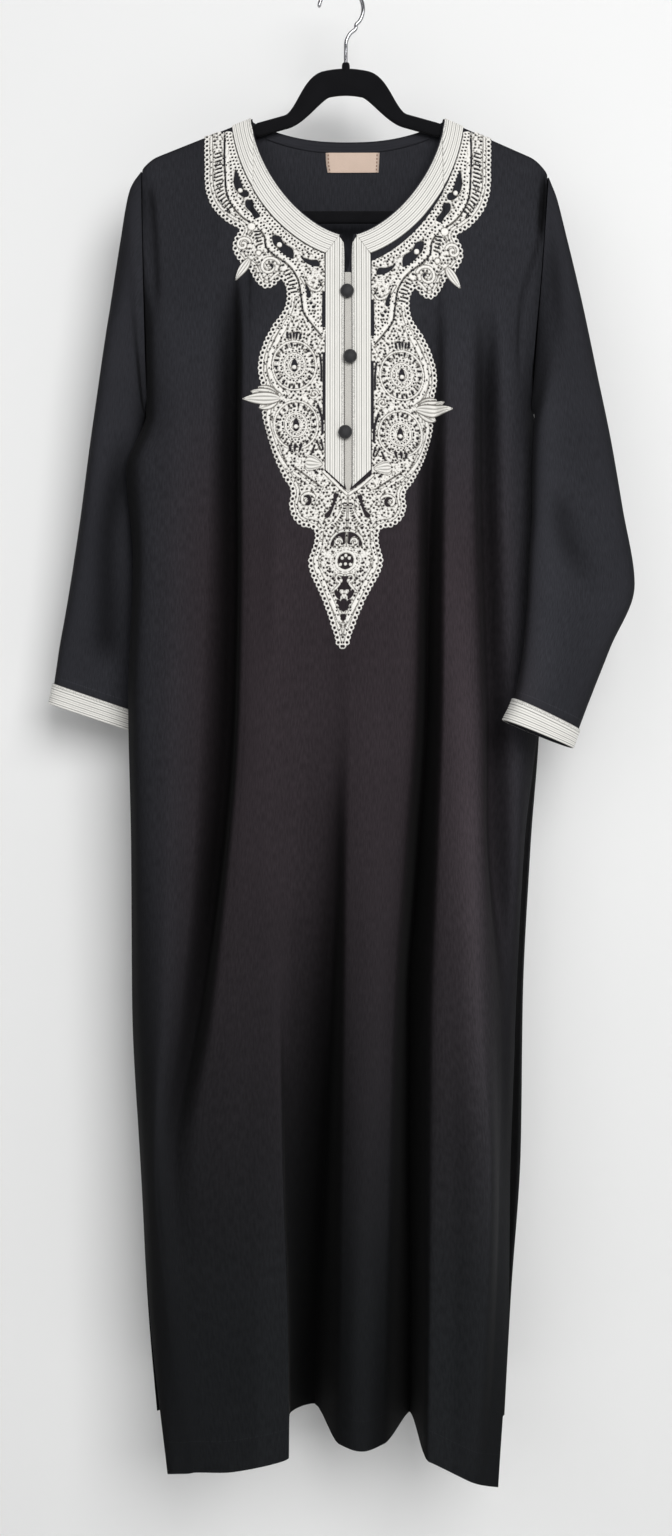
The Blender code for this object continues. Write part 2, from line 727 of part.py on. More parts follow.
def make_buttons(ground, finish):
    reach = BUTTON_ACROSS / 3
    for name, across, drop in BUTTONS:
        footprint = [(0, 0), (reach, 0), (-reach, 0), (0, reach), (0, -reach)]
        cloth = min(depth_on(ground.tree, across + dx, drop + dz) for dx, dz in footprint)
        seat = cloth - SEW_LIFT - BRAID_THICK - BUTTON_LIFT
        mesh = bpy.data.meshes.new(name)
        work = bmesh.new()
        bmesh.ops.create_uvsphere(work, u_segments=12, v_segments=7, radius=BUTTON_ACROSS / 2)
        for vertex in work.verts:
            x, y, z = vertex.co
            flat = max(z * BUTTON_THICK / BUTTON_ACROSS, -BUTTON_FLAT)
            vertex.co = to_metres((across + x, seat - BUTTON_FLAT - flat, drop + y))
        bmesh.ops.remove_doubles(work, verts=work.verts, dist=1e-6)
        bmesh.ops.recalc_face_normals(work, faces=work.faces)
        work.to_mesh(mesh)
        work.free()
        mesh.materials.append(finish)
        mesh.shade_smooth()
        bpy.context.collection.objects.link(bpy.data.objects.new(name, mesh))


def ring_points(ring, shrink, sides):
    """Places round one ring of a sleeve, drawn in by the thickness of the cloth."""
    outer = np.array([ring.outer_across, ring.outer_depth, ring.outer_drop])
    inner = np.array([ring.inner_across, ring.inner_depth, ring.inner_drop])
    middle = (outer + inner) / 2
    along = outer - inner
    half = np.linalg.norm(along) / 2 - shrink
    along /= np.linalg.norm(along)
    away = np.array([0.0, 1.0, 0.0]) - along[1] * along
    away /= np.linalg.norm(away)
    power = 2 / ARMHOLE_ROUNDNESS
    points = []
    for k in range(sides):
        turn = 2 * math.pi * k / sides
        c, s = math.cos(turn), math.sin(turn)
        reach = math.copysign(abs(c) ** power, c)
        open_to = math.copysign(abs(s) ** power, s)
        points.append(middle + along * half * reach + away * (ring.half_open - shrink) * open_to)
    return points


def sleeve_ring(rings, share):
    """The ring a share of the way down the sleeve, between the rings of its table."""
    at = share * (len(rings) - 1)
    return Ring(*[float(smooth_through(range(len(rings)), column, at)) for column in zip(*rings)])


def make_sleeve(name, cuff_name, rings, cloth, braid):
    cuff_top = (len(rings) - 2) / (len(rings) - 1)
    cuff_shares = [cuff_top, (cuff_top + 1) / 2, 1]
    shares = [*np.linspace(0, cuff_top, SLEEVE_RINGS - 1), *cuff_shares[1:]]
    half = CLOTH / 2
    outer = np.array([ring_points(sleeve_ring(rings, s), -half, SLEEVE_SIDES) for s in shares])
    inner = np.array([ring_points(sleeve_ring(rings, s), half, SLEEVE_SIDES) for s in shares])
    wall(name, outer, inner, cloth, closed_round=True)
    low = half + SEW_LIFT
    high = low + BRAID_THICK
    outer = np.array([ring_points(sleeve_ring(rings, s), -high, SLEEVE_SIDES) for s in cuff_shares])
    inner = np.array([ring_points(sleeve_ring(rings, s), -low, SLEEVE_SIDES) for s in cuff_shares])
    wall(cuff_name, outer, inner, braid, closed_round=True)


def make_neck_inside(ground, cloth, label_finish):
    """The narrow band inside the back neck, and the plain label caught under it."""
    span = np.linspace(-NECK_HALF + 16, NECK_HALF - 16, 15)
    top = [(CENTRE + float(x), back_neck_drop(CENTRE + x) + 1.2) for x in span]
    low = [(CENTRE + float(x), back_neck_drop(CENTRE + x) + 11.0) for x in span]
    laid_piece("back_neck_band", ground, top + low[::-1], cloth, NECK_BAND_THICK)
    laid_piece("label", ground, list(LABEL), label_finish, LABEL_THICK)


def swept(name, path, half_heights, half_depths, finish, sides=8):
    """A bar of rounded section swept along a path in the plane of the hanger."""
    path = np.asarray(path, float)
    rings = []
    ahead = np.gradient(path, axis=0)
    ahead /= np.linalg.norm(ahead, axis=1, keepdims=True)
    for (x, z), (dx, dz), height, depth in zip(path, ahead, half_heights, half_depths):
        ring = []
        for k in range(sides):
            turn = 2 * math.pi * (k + 0.5) / sides
            up = height * math.copysign(abs(math.cos(turn)) ** 0.8, math.cos(turn))
            y = depth * math.copysign(abs(math.sin(turn)) ** 0.8, math.sin(turn))
            ring.append((x - dz * up, y, z + dx * up))
        rings.append(ring)
    points = [p for ring in rings for p in ring]
    faces = [list(range(sides)), list(range(len(points) - sides, len(points)))[::-1]]
    for row in range(len(rings) - 1):
        for k in range(sides):
            a = row * sides + k
            b = row * sides + (k + 1) % sides
            faces.append([a, b, b + sides, a + sides])
    return body_object(name, points, faces, finish)


def arch_middle(across):
    """Drop of the middle of the hanger's neck arch and arms, and their half height."""
    blend = float(np.interp(abs(across - HOOK_STEM_ACROSS), (20, 62), (0, 1)))
    blend = blend * blend * (3 - 2 * blend)
    inside_neck = max(0.0, NECK_HALF - 4 - abs(across - CENTRE))
    arm = shoulder_drop(across) if inside_neck == 0 else NECK_DROP - 0.28 * inside_neck
    arm += UNDER_SHOULDER + ARM_HALF_HEIGHT * 1.07
    crown = 97.0 + 0.0055 * (across - HOOK_STEM_ACROSS) ** 2
    return crown + (arm - crown) * blend, ARCH_HALF_HEIGHT + (ARM_HALF_HEIGHT - ARCH_HALF_HEIGHT) * blend


def make_hanger(velvet, chrome):
    tips = {
        -1: ((-186, BAR_DROP), (-189, BAR_DROP), (-196, 232), (-200.5, 222), (-201, 210), (-196.5, 199.5)),
        1: ((194, BAR_DROP), (197, BAR_DROP), (204, 233), (208.5, 224), (209, 213), (204.5, 204)),
    }
    stretches = (*np.linspace(-187, -60, 9), *np.linspace(-52, 62, 17), *np.linspace(70, 194, 9))
    arm = [(float(x), *arch_middle(float(x))) for x in stretches]
    path = [*tips[-1], *[(x, z) for x, z, _ in arm], *tips[1][::-1]]
    tip_heights = [BAR_HALF_HEIGHT] * len(tips[1])
    heights = [*tip_heights, *[height for _, _, height in arm], *tip_heights]
    swept("hanger_arms", path, heights, [HANGER_HALF_DEPTH] * len(path), velvet)
    bar = [(-186 + 0.5, BAR_DROP), (4, BAR_DROP), (194 - 0.5, BAR_DROP)]
    swept("hanger_bar", bar, [BAR_HALF_HEIGHT] * 3, [HANGER_HALF_DEPTH] * 3, velvet)
    hook = [(5.0, 83.4), (5.0, 64.0), (5.6, 54.0), (9.5, 46.5), (15.5, 40.5)]
    centre_drop = HOOK_RADIUS - WIRE_RADIUS
    for degrees in range(48, -190, -14):
        turn = math.radians(degrees)
        hook.append((HOOK_RADIUS * math.cos(turn), centre_drop + HOOK_RADIUS * math.sin(turn)))
    wire = [WIRE_RADIUS] * len(hook)
    swept("hanger_hook", hook, wire, wire, chrome)


def main():
    clear_scene()
    crepe = material("black_crepe", (0.012, 0.012, 0.014), 0.75)
    braid = material("ivory_braid", (0.72, 0.70, 0.64), 0.6)
    strip = material("grey_strip", (0.42, 0.41, 0.39), 0.6)
    lace = material("ivory_lace", (0.70, 0.67, 0.60), 0.65)
    covered = material("black_button_cloth", (0.015, 0.015, 0.018), 0.5)
    peach = material("peach_label", (0.62, 0.42, 0.30), 0.6)
    velvet = material("black_velvet", (0.006, 0.006, 0.007), 0.9)
    chrome = material("chrome", (0.75, 0.75, 0.76), 0.12, 1.0)

    front_outer, _ = make_panel("front", FRONT_FOLDS, FRONT_HEM, FRONT_COLUMNS, FRONT_ROWS, True, crepe)
    _, back_inner = make_panel("back", BACK_FOLDS, BACK_HEM, BACK_COLUMNS, BACK_ROWS, False, crepe)
    make_sleeve("sleeve_left", "cuff_left", LEFT_RINGS, crepe, braid)
    make_sleeve("sleeve_right", "cuff_right", RIGHT_RINGS, crepe, braid)
    front_ground = ground_of(front_outer)
    make_trims(front_ground, braid, strip, lace)
    make_buttons(front_ground, covered)
    make_neck_inside(ground_of(back_inner), crepe, peach)
    make_hanger(velvet, chrome)


main()
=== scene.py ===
"""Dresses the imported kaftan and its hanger, and sets the camera, the light and the wall.

Sizes in the tables are in millimetres: `across` runs to the viewer's right, `depth` away from the viewer
and `drop` downwards from the inner top of the hook. `metres` turns them into Blender's coordinates.
"""

import logging
import math
from collections.abc import Sequence
from dataclasses import dataclass, field
from enum import Enum

import bmesh
import bpy
import numpy as np
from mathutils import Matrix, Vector
from mathutils.bvhtree import BVHTree


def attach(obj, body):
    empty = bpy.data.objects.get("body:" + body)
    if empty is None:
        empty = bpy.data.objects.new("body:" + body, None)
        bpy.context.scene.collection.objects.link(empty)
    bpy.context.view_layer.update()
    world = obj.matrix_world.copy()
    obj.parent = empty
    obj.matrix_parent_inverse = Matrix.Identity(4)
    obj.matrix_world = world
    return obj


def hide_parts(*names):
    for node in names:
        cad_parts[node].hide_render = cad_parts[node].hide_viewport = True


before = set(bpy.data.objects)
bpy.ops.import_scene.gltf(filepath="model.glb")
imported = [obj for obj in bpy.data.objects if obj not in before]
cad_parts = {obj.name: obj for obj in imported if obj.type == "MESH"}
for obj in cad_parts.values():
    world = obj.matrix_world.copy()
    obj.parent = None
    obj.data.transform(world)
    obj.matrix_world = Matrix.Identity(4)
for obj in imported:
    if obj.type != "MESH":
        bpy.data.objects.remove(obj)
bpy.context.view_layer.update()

Array = np.ndarray
Place = tuple[float, float]
Path = Sequence[Place] | Array
Triple = tuple[float, float, float]
Colour = Triple
Socket = bpy.types.NodeSocket
Tree = bpy.types.NodeTree
Material = bpy.types.Material
Piece = bpy.types.Object

TURN = 2 * math.pi

report = logging.getLogger("kaftan")

# The sizes that the cut of the kaftan shares with its solids, in millimetres
CLOTH = 2.0
SHOWN_CLOTH = 1.3
SEAM_GAP = 0.4
CENTRE = 7.0
NECK_DROP = 136.5
NECK_HALF = 99.0
NECK_DEEP = 130.0
NECK_ROUNDNESS = 1.62
SLIT_FOOT_DROP = 304.0
BACK_NECK_DEEP = 18.5
BACK_NECK_ROUNDNESS = 2.4
FACING_INSET = 14.0
FACING_EDGES = (0.8, 11.0)
TIPS = (-206.0, 214.0)
SLOPES = (0.40, 0.44)
TIP_FALLS = ((7.0, 196.0, 17.0), (10.0, 188.0, 19.0))
UNDERARM_DROP = 430.0
UNDERARMS = (-200.0, 197.2)
SIDES_AT_BUST = (-201.6, 199.8)
ARMHOLE_HALF_DEPTH = 14.0
ARMHOLE_ROUNDNESS = 2.5
SHOULDER_ROUND = 5.0
SEAM_ROLL = 1.2
CHEST_DROP = 290.0
CHEST_DEPTH = 33.0
HALF_CHEST = 205.0
CHEST_ROUNDNESS = 2.2
BRAID_WIDTH = 24.0
BRAID_INSET = 1.5
PLACKET_INNER = 4.0
PLACKET_OUTER = 23.0
PLACKET_TAPER_DROP = 510.0
PLACKET_POINT_DROP = 533.0
LACE_TOP_DROP = 152.0
LACE_SPLIT_DROP = 560.5
LACE_FOOT_DROP = 696.0
LACE_HALF_WIDTH = 156.0
BAR_DROP = 237.5

# How the folds shade each other: how far, how much from the right, and the tone by how much is hidden
SHADOW_REACH = 110.0
SHADOW_FROM_RIGHT = 0.76
RIDGE_REACH = 30.0
SHADOW_TONES = ((0.05, 0.3, 0.6, 0.9), (1.0, 0.81, 0.36, 0.08))

# Drops at which the fold lines are given: bust, underarm, waist, hip, thigh, knee and down to the hem
STATIONS = (365, 448, 500, 594, 739, 895, 1051, 1207, 1363, 1519)


class Side(Enum):
    """The two sides of the garment, as the viewer sees them."""

    LEFT = -1
    RIGHT = 1

    @property
    def word(self) -> str:
        """The side's name in the names of its pieces."""
        return self.name.lower()


class Face(Enum):
    """The two faces of the garment."""

    FRONT = -1
    BACK = 1


class Cut(Enum):
    """How a stretch of braid is laid: its name, and how many places it has along it."""

    NECK = ("neckband", 100)
    PLACKET = ("placket", 83)


@dataclass(frozen=True)
class Fold:
    """One fold line of a panel: its across and depth at each of STATIONS, and its drop at the hem."""

    across: tuple[float, ...]
    depth: tuple[float, ...]
    hem: float


FRONT_FOLDS = (
    Fold((-201.6, -203, -223, -216, -221, -218, -217, -209, -195, -172),
         (-13, -1.2, -1.2, -1.2, -1.2, -1.2, -1.2, -1.2, -32, -65), 1513),
    Fold((-188, -190, -205, -202, -207, -205, -203, -200, -187, -165),
         (-26, -24, -24, -26, -28, -29, -29, -28, -47, -69), 1511),
    Fold((-159, -160, -161, -163, -167, -171, -177, -187, -171, -150),
         (-31, -34, -36, -38, -42, -45, -46, -45, -60, -72), 1509),
    Fold((-136, -136, -137, -139, -144, -151, -163, -180, -163, -143),
         (-31, -33, -34, -35, -38, -41, -42, -47, -63, -74), 1507),
    Fold((-112, -112, -112, -112, -115, -126, -144, -168, -152, -133),
         (-22, -20, -19, -19, -19, -21, -30, -48, -66, -76), 1506),
    Fold((-99, -99, -99, -99, -101, -111, -126, -144, -129, -111),
         (-37, -41, -43, -45, -49, -53, -57, -61, -71, -80), 1504),
    Fold((-56, -58, -60, -63, -69, -71, -66, -59, -53, -52),
         (-42, -46, -48, -52, -56, -62, -68, -74, -80, -84), 1488),
    Fold((-36, -37, -38, -40, -45, -51, -55, -57, -54, -54),
         (-42, -46, -48, -51, -54, -60, -63, -60, -38, 0), 1478),
    Fold((-11, -11, -11, -11, -9, -8, -12, -17, -24, -30),
         (-42, -46, -48, -50, -51, -42, -24, -2, 12, 18), 1478),
    Fold((6, 6, 6, 7, 9, 8, 5, 2, 0, -2), (-42, -46, -48, -51, -54, -56, -54, -52, -52, -54), 1488),
    Fold((31, 31, 32, 33, 35, 33, 29, 25, 22, 20), (-42, -46, -48, -52, -56, -60, -61, -61, -62, -63), 1491),
    Fold((72, 73, 74, 75, 73, 62, 52, 47, 44, 42), (-37, -38, -39, -40, -41, -47, -52, -54, -52, -50), 1489),
    Fold((96, 95, 92, 90, 89, 81, 71, 71, 73, 72), (-29, -27, -24, -18, -10, 0, 10, 17, 21, 14), 1486),
    Fold((110, 110, 109, 107, 105, 100, 94, 92, 89, 86),
         (-34, -37, -40, -43, -46, -49, -53, -60, -74, -84), 1492),
    Fold((137, 134, 130, 125, 125, 129, 135, 146, 139, 127),
         (-33, -37, -40, -43, -48, -54, -60, -64, -74, -80), 1513),
    Fold((168, 169, 170, 172, 172, 168, 166, 162, 155, 142),
         (-26, -27, -28, -29, -30, -28, -24, -28, -54, -73), 1520),
    Fold((183, 184, 185, 186, 187, 181, 175, 170, 163, 150),
         (-20, -19, -20, -21, -22, -19, -15, -15, -45, -69), 1523),
    Fold((199.8, 201, 207.5, 209, 206, 190, 182, 176, 170, 156),
         (-13, -1.2, -1.2, -1.2, -1.2, -1.2, -1.2, -1.2, -34, -66), 1525),
)
BACK_FOLDS = (
    Fold((-201.6, -203, -223, -216, -221, -218, -217, -209, -202, -190),
         (13, 1.2, 1.2, 1.2, 1.2, 1.2, 1.2, 1.2, 6, 14), 1484),
    Fold((-150, -152, -154, -158, -162, -164, -162, -156, -150, -146),
         (32, 34, 35, 36, 40, 46, 50, 54, 58, 62), 1490),
    Fold((-100, -100, -101, -102, -104, -104, -102, -98, -96, -94),
         (31, 29, 27, 25, 22, 20, 18, 16, 16, 16), 1494),
    Fold((-45, -45, -45, -46, -48, -50, -48, -46, -44, -42), (34, 36, 38, 42, 48, 54, 60, 64, 68, 70), 1496),
    Fold((10, 10, 11, 12, 14, 16, 18, 18, 18, 18), (33, 31, 29, 26, 24, 22, 20, 20, 20, 20), 1498),
    Fold((62, 62, 63, 64, 66, 68, 70, 72, 74, 76), (34, 36, 38, 42, 48, 54, 60, 64, 68, 72), 1498),
    Fold((112, 110, 110, 110, 112, 114, 116, 116, 114, 112), (30, 28, 27, 24, 22, 18, 17, 17, 18, 20), 1496),
    Fold((155, 152, 153, 156, 158, 157, 154, 150, 144, 138), (29, 30, 32, 36, 40, 46, 50, 54, 58, 60), 1494),
    Fold((190, 196, 204, 208, 208, 198, 190, 188, 178, 170), (19, 13, 13, 14, 16, 15, 14, 14, 18, 22), 1492),
    Fold((199.8, 201, 207.5, 209, 206, 190, 182, 176, 172, 166),
         (13, 1.2, 1.2, 1.2, 1.2, 1.2, 1.2, 1.2, 8, 14), 1490),
)

# Rings of each sleeve: its outer edge and its inner edge (across, depth, drop), and half its opening
LEFT_RINGS = (
    (-206.9, 0, 191, -201.2, 0, 431, 14), (-218, 2, 208, -204, 3, 436, 17),
    (-229, 5, 262, -205.5, 15, 444, 20), (-241, 8, 335, -208, 24, 460, 22),
    (-252, 10, 404, -211, 34, 486, 23), (-262, 12, 470, -213, 42, 530, 23),
    (-273, 14, 552, -213, 46, 592, 23), (-286, 18, 633, -212, 56, 655, 21),
    (-295.5, 20, 684, -211, 60, 708, 19), (-301.5, 22, 721.5, -210, 61, 753, 18),
    (-306, 23, 743, -209, 62, 776, 18),
)
RIGHT_RINGS = (
    (214.9, 0, 197, 198.6, 0, 431, 14), (222, -3, 216, 198.0, -7, 437, 13.5),
    (233, -9, 265, 200, -18.5, 448, 15), (247, -15, 332, 198, -28, 470, 18),
    (262, -22, 413, 196, -34, 512, 19), (273, -29, 475, 195, -39, 552, 19),
    (284, -36, 548, 192, -43, 594, 18), (295, -42, 624, 189, -48, 644, 18),
    (269, -44, 690, 184, -56, 690, 18), (237, -41, 770, 174, -70, 742, 18),
    (230, -40, 789, 164, -72, 764, 18),
)


def metres(points: Array) -> Array:
    """Turns (across, depth, drop) in millimetres into Blender's x, y and z."""
    return np.asarray(points, float) * (0.001, 0.001, -0.001)


def between(t: Array, step: Array, values: tuple[Array, Array], slopes: tuple[Array, Array]) -> Array:
    """A smooth curve from one knot to the next, from their values and slopes."""
    from_first = (1 + 2 * t) * (1 - t) ** 2 * values[0] + t * (1 - t) ** 2 * step * slopes[0]
    return from_first + t**2 * (3 - 2 * t) * values[1] - t**2 * (1 - t) * step * slopes[1]


def smooth_through(knots: Sequence[float], values: Sequence[float] | Array, at: float | Array) -> Array:
    """Reads a smooth curve that never overshoots its knots.

    Args:
        knots: Where the values are given, rising.
        values: The value at each knot.
        at: Where the curve is read.

    Returns:
        The curve's value at each place.
    """
    knots, values = np.asarray(knots, float), np.asarray(values, float)
    steps = np.diff(knots)
    rises = np.diff(values) / steps
    product, total = rises[:-1] * rises[1:], rises[:-1] + rises[1:]
    inner = np.where(product > 0, 2 * product / np.where(total == 0, 1, total), 0)
    slopes = np.concatenate([rises[:1], inner, rises[-1:]])
    k = np.clip(np.searchsorted(knots, at, side="right") - 1, 0, len(knots) - 2)
    t = (np.asarray(at, float) - knots[k]) / steps[k]
    return between(t, steps[k], (values[k], values[k + 1]), (slopes[k], slopes[k + 1]))


def fade(value: Array, low: float, high: float) -> Array:
    """Rises softly from 0 at low to 1 at high."""
    t = np.clip((value - low) / (high - low), 0, 1)
    return t * t * (3 - 2 * t)


def lengths(path: Array) -> Array:
    """The length of a flat path up to each of its points."""
    return np.concatenate([[0], np.cumsum(np.hypot(*np.diff(path, axis=0).T))])


def evenly(path: Array, count: int) -> Array:
    """A count of places, evenly spaced along a flat path.

    Args:
        path: The path's points.
        count: How many places.

    Returns:
        The places, from its start to its end.
    """
    length = lengths(path)
    at = np.linspace(0, length[-1], count)
    return np.stack([np.interp(at, length, path[:, 0]), np.interp(at, length, path[:, 1])], axis=1)


def along(path: Path, pitch: float) -> Array:
    """Places along a smooth curve.

    Args:
        path: The points that it goes through.
        pitch: How far apart the places are.

    Returns:
        Rows of places, from its start to its end.
    """
    path = np.asarray(path, float)
    if len(path) > 2:
        share = lengths(path)
        fine = np.linspace(0, share[-1], 12 * len(path))
        slopes = np.gradient(path, share, axis=0)
        k = np.clip(np.searchsorted(share, fine, side="right") - 1, 0, len(path) - 2)
        step = (share[k + 1] - share[k])[:, None]
        t = (fine - share[k])[:, None] / step
        path = between(t, step, (path[k], path[k + 1]), (slopes[k], slopes[k + 1]))
    return evenly(path, max(2, round(lengths(path)[-1] / pitch) + 1))


def shoulder_drop(across: float | Array) -> Array:
    """The shoulder seam's drop at a place across, with the fall of its rounded tip.

    Args:
        across: The places across.

    Returns:
        The drop at each.
    """
    out = np.abs(np.asarray(across, float) - CENTRE)
    right = np.asarray(across, float) >= CENTRE
    slope = np.where(right, SLOPES[1], SLOPES[0])
    fall, start, length = (np.where(right, TIP_FALLS[1][k], TIP_FALLS[0][k]) for k in range(3))
    return NECK_DROP + slope * (out - NECK_HALF) + fall * (np.maximum(0, out - start) / length) ** 2


def neckline_drop(across: float) -> float:
    """The front neckline's drop at a place across, with the slit at its middle.

    Args:
        across: The place across.

    Returns:
        The drop there.
    """
    out = min(abs(across - CENTRE), NECK_HALF)
    deep = (1 - (out / NECK_HALF) ** NECK_ROUNDNESS) ** (1 / NECK_ROUNDNESS)
    slit = float(np.interp(out, (0, PLACKET_INNER, 9), (SLIT_FOOT_DROP, 276, 0)))
    return max(NECK_DROP + NECK_DEEP * deep, slit)


def back_neck_drop(across: float | Array) -> Array:
    """The back neckline's drop at a place across."""
    out = np.minimum(np.abs(np.asarray(across) - CENTRE) / NECK_HALF, 1)
    return NECK_DROP + BACK_NECK_DEEP * (1 - out**BACK_NECK_ROUNDNESS)


def neck_curve(inset: float, side: Side, count: int) -> Array:
    """Places along the round neckline, moved into the cloth.

    Args:
        inset: How far from the neckline's edge, in millimetres.
        side: Which half of the neckline.
        count: How many places, evenly spaced along it.

    Returns:
        Rows of (across, drop), from the neck point to the placket.
    """
    power = 2 / NECK_ROUNDNESS
    fine = np.linspace(0, math.pi / 2, 500)
    out, drop = NECK_HALF * np.cos(fine) ** power, NECK_DROP + NECK_DEEP * np.sin(fine) ** power
    step_out, step_drop = np.gradient(out), np.gradient(drop)
    moved = inset * (0.84 + 0.16 * fade(fine, 0.1, 0.9)) / np.hypot(step_out, step_drop)
    line = evenly(np.stack([out + moved * step_drop, drop - moved * step_out], axis=1), count)
    return line * (side.value, 1) + (CENTRE, 0)


def normals_of(grid: Array, closed: bool) -> Array:
    """Unit normals of a grid of points.

    Args:
        grid: The points, rows by columns by three.
        closed: Whether the last column joins the first.

    Returns:
        A normal for each point, to one side of the grid.
    """
    wrapped = np.concatenate([grid[:, -1:], grid, grid[:, :1]], axis=1) if closed else grid
    sideways = np.gradient(wrapped, axis=1)[:, 1:-1] if closed else np.gradient(wrapped, axis=1)
    turned = np.cross(sideways, np.gradient(grid, axis=0))
    return turned / np.maximum(np.linalg.norm(turned, axis=2, keepdims=True), 1e-9)


def quads_of(index: Array) -> Array:
    """The corners of each cell in a grid of point numbers."""
    return np.stack([index[:-1, :-1], index[:-1, 1:], index[1:, 1:], index[1:, :-1]], axis=-1).reshape(-1, 4)


@dataclass(frozen=True)
class Crease:
    """A soft crease: a line on the cloth that is pressed in or stands up, and fades at its ends."""

    path: tuple[Place, ...]
    height: float
    reach: float
    left_reach: float = 0.0
    start_fade: float = 0.25
    end_fade: float = 0.25

    def press(self, across: Array, drop: Array) -> Array:
        """Works out how the crease moves the cloth.

        Args:
            across: Each place's across.
            drop: Each place's drop.

        Returns:
            How far each place moves along the cloth's normal.
        """
        points = along(self.path, 12.0)
        starts = lengths(points)
        best, share, sign = np.full(across.shape, 1e9), np.zeros(across.shape), np.ones(across.shape)
        for (x0, z0), (dx, dz), start in zip(points[:-1], np.diff(points, axis=0), starts):
            length = math.hypot(dx, dz)
            t = np.clip(((across - x0) * dx + (drop - z0) * dz) / length**2, 0, 1)
            gap = np.hypot(across - x0 - t * dx, drop - z0 - t * dz)
            nearer = gap < best
            best = np.where(nearer, gap, best)
            share = np.where(nearer, (start + t * length) / starts[-1], share)
            sign = np.where(nearer, np.sign(dz * (across - x0) - dx * (drop - z0)), sign)
        reach = np.where(sign < 0, self.left_reach or self.reach, self.reach)
        ends = fade(share, 0, self.start_fade) * fade(1 - share, 0, self.end_fade)
        return self.height * np.exp(-((best / reach) ** 2)) * ends


FRONT_CREASES = (
    Crease(((211, 192), (203, 270), (193, 302), (187, 328), (184, 360), (183, 428)),
           -2.4, 2.6, 0.0, 0.05, 0.3),
    Crease(((209, 206), (206, 232), (204, 262)), -1.4, 2.4, 0.0, 0.3, 0.3),
    Crease(((-201, 196), (-196, 240), (-192, 300), (-189, 352)), -3.0, 5.0, 0.0, 0.2, 0.3),
    Crease(((146, 300), (150, 360), (152, 450), (153, 540), (156, 640), (161, 760), (164, 880), (170, 1000),
            (176, 1110)), -19.0, 9.0, 13.0, 0.18, 0.3),
    Crease(((-104, 300), (-110, 450), (-110, 600), (-112, 720), (-117, 843), (-127, 930), (-136, 1018),
            (-147, 1115)), -4.0, 7.0, 9.0, 0.15, 0.3),
    Crease(((-62, 520), (-60, 640), (-56, 760)), 2.5, 14.0, 0.0, 0.4, 0.4),
)
# The ridge on the right that catches the light, as a share of its tone
RIDGE_SHINE = Crease(
    ((118, 480), (121, 640), (127, 740), (131, 860), (135, 945), (140, 1027), (148, 1108), (157, 1190),
     (165, 1290), (166, 1400), (160, 1480)), 0.95, 13.0, 20.0, 0.6, 0.2,
)
BACK_CREASES = (
    Crease(((-101, 300), (-103, 520), (-106, 800), (-103, 1050)), -7.0, 12.0, 8.0, 0.2, 0.3),
    Crease(((112, 340), (111, 560), (113, 820), (116, 1000)), -6.0, 9.0, 14.0, 0.25, 0.35),
    Crease(((-60, 250), (-52, 330), (-48, 430)), -3.0, 9.0, 0.0, 0.4, 0.5),
)
LEFT_SLEEVE_CREASES = (
    Crease(((-216, 440), (-228, 500), (-240, 558), (-243, 640), (-245, 712)), -5.5, 11.0, 15.0, 0.3, 0.15),
    Crease(((-222, 235), (-231, 300), (-240, 372)), -2.0, 8.0, 0.0, 0.4, 0.5),
)
RIGHT_SLEEVE_CREASES = (
    Crease(((212, 520), (230, 590), (262, 640)), -3.5, 12.0, 0.0, 0.3, 0.5),
    Crease(((214, 250), (218, 330), (222, 400)), -2.2, 8.0, 0.0, 0.4, 0.5),
)


def fold_shadow(across: Array, height: Array) -> Array:
    """The soft shadow that folds cast on each other, row by row.

    Args:
        across: Each place's across, rows by columns.
        height: How far towards the viewer each place stands.

    Returns:
        The share of its tone that each place loses, below 0 where a ridge catches the light.
    """
    result = np.zeros(across.shape)
    for row, (x, h) in enumerate(zip(across, height)):
        gap, rise = x[None, :] - x[:, None], h[None, :] - h[:, None]
        slope = np.where(np.abs(gap) < SHADOW_REACH, rise / np.maximum(np.abs(gap), 1.5), 0)
        hidden = 0.0
        for side, weight in ((gap < 0, 1 - SHADOW_FROM_RIGHT), (gap > 0, SHADOW_FROM_RIGHT)):
            steepest = np.where(side, slope, 0).max(axis=1)
            hidden = hidden + weight * steepest / np.sqrt(1 + steepest**2)
        near = np.abs(gap) < RIDGE_REACH
        ridge = -(rise * near).sum(axis=1) / near.sum(axis=1)
        result[row] = 1 - np.interp(hidden, *SHADOW_TONES) * (1 + 0.22 * np.clip(ridge / 10, 0, 1))
    return result


def waves(across: Array, drop: Array, seed: int, size: float) -> Array:
    """Small slow unevenness of hanging cloth.

    Args:
        across: Each place's across.
        drop: Each place's drop.
        seed: The seed of its draws.
        size: About how high it is, in millimetres.

    Returns:
        How far each place moves.
    """
    dice = np.random.default_rng(seed)
    total = np.zeros(across.shape)
    for _ in range(9):
        turn, phase, pitch = dice.uniform(-0.5, 0.5), dice.uniform(0, TURN), dice.uniform(70, 190)
        way = across * math.cos(turn) + 0.35 * drop * math.sin(turn)
        total += np.sin(TURN * way / pitch + phase)
    return size * total / 5


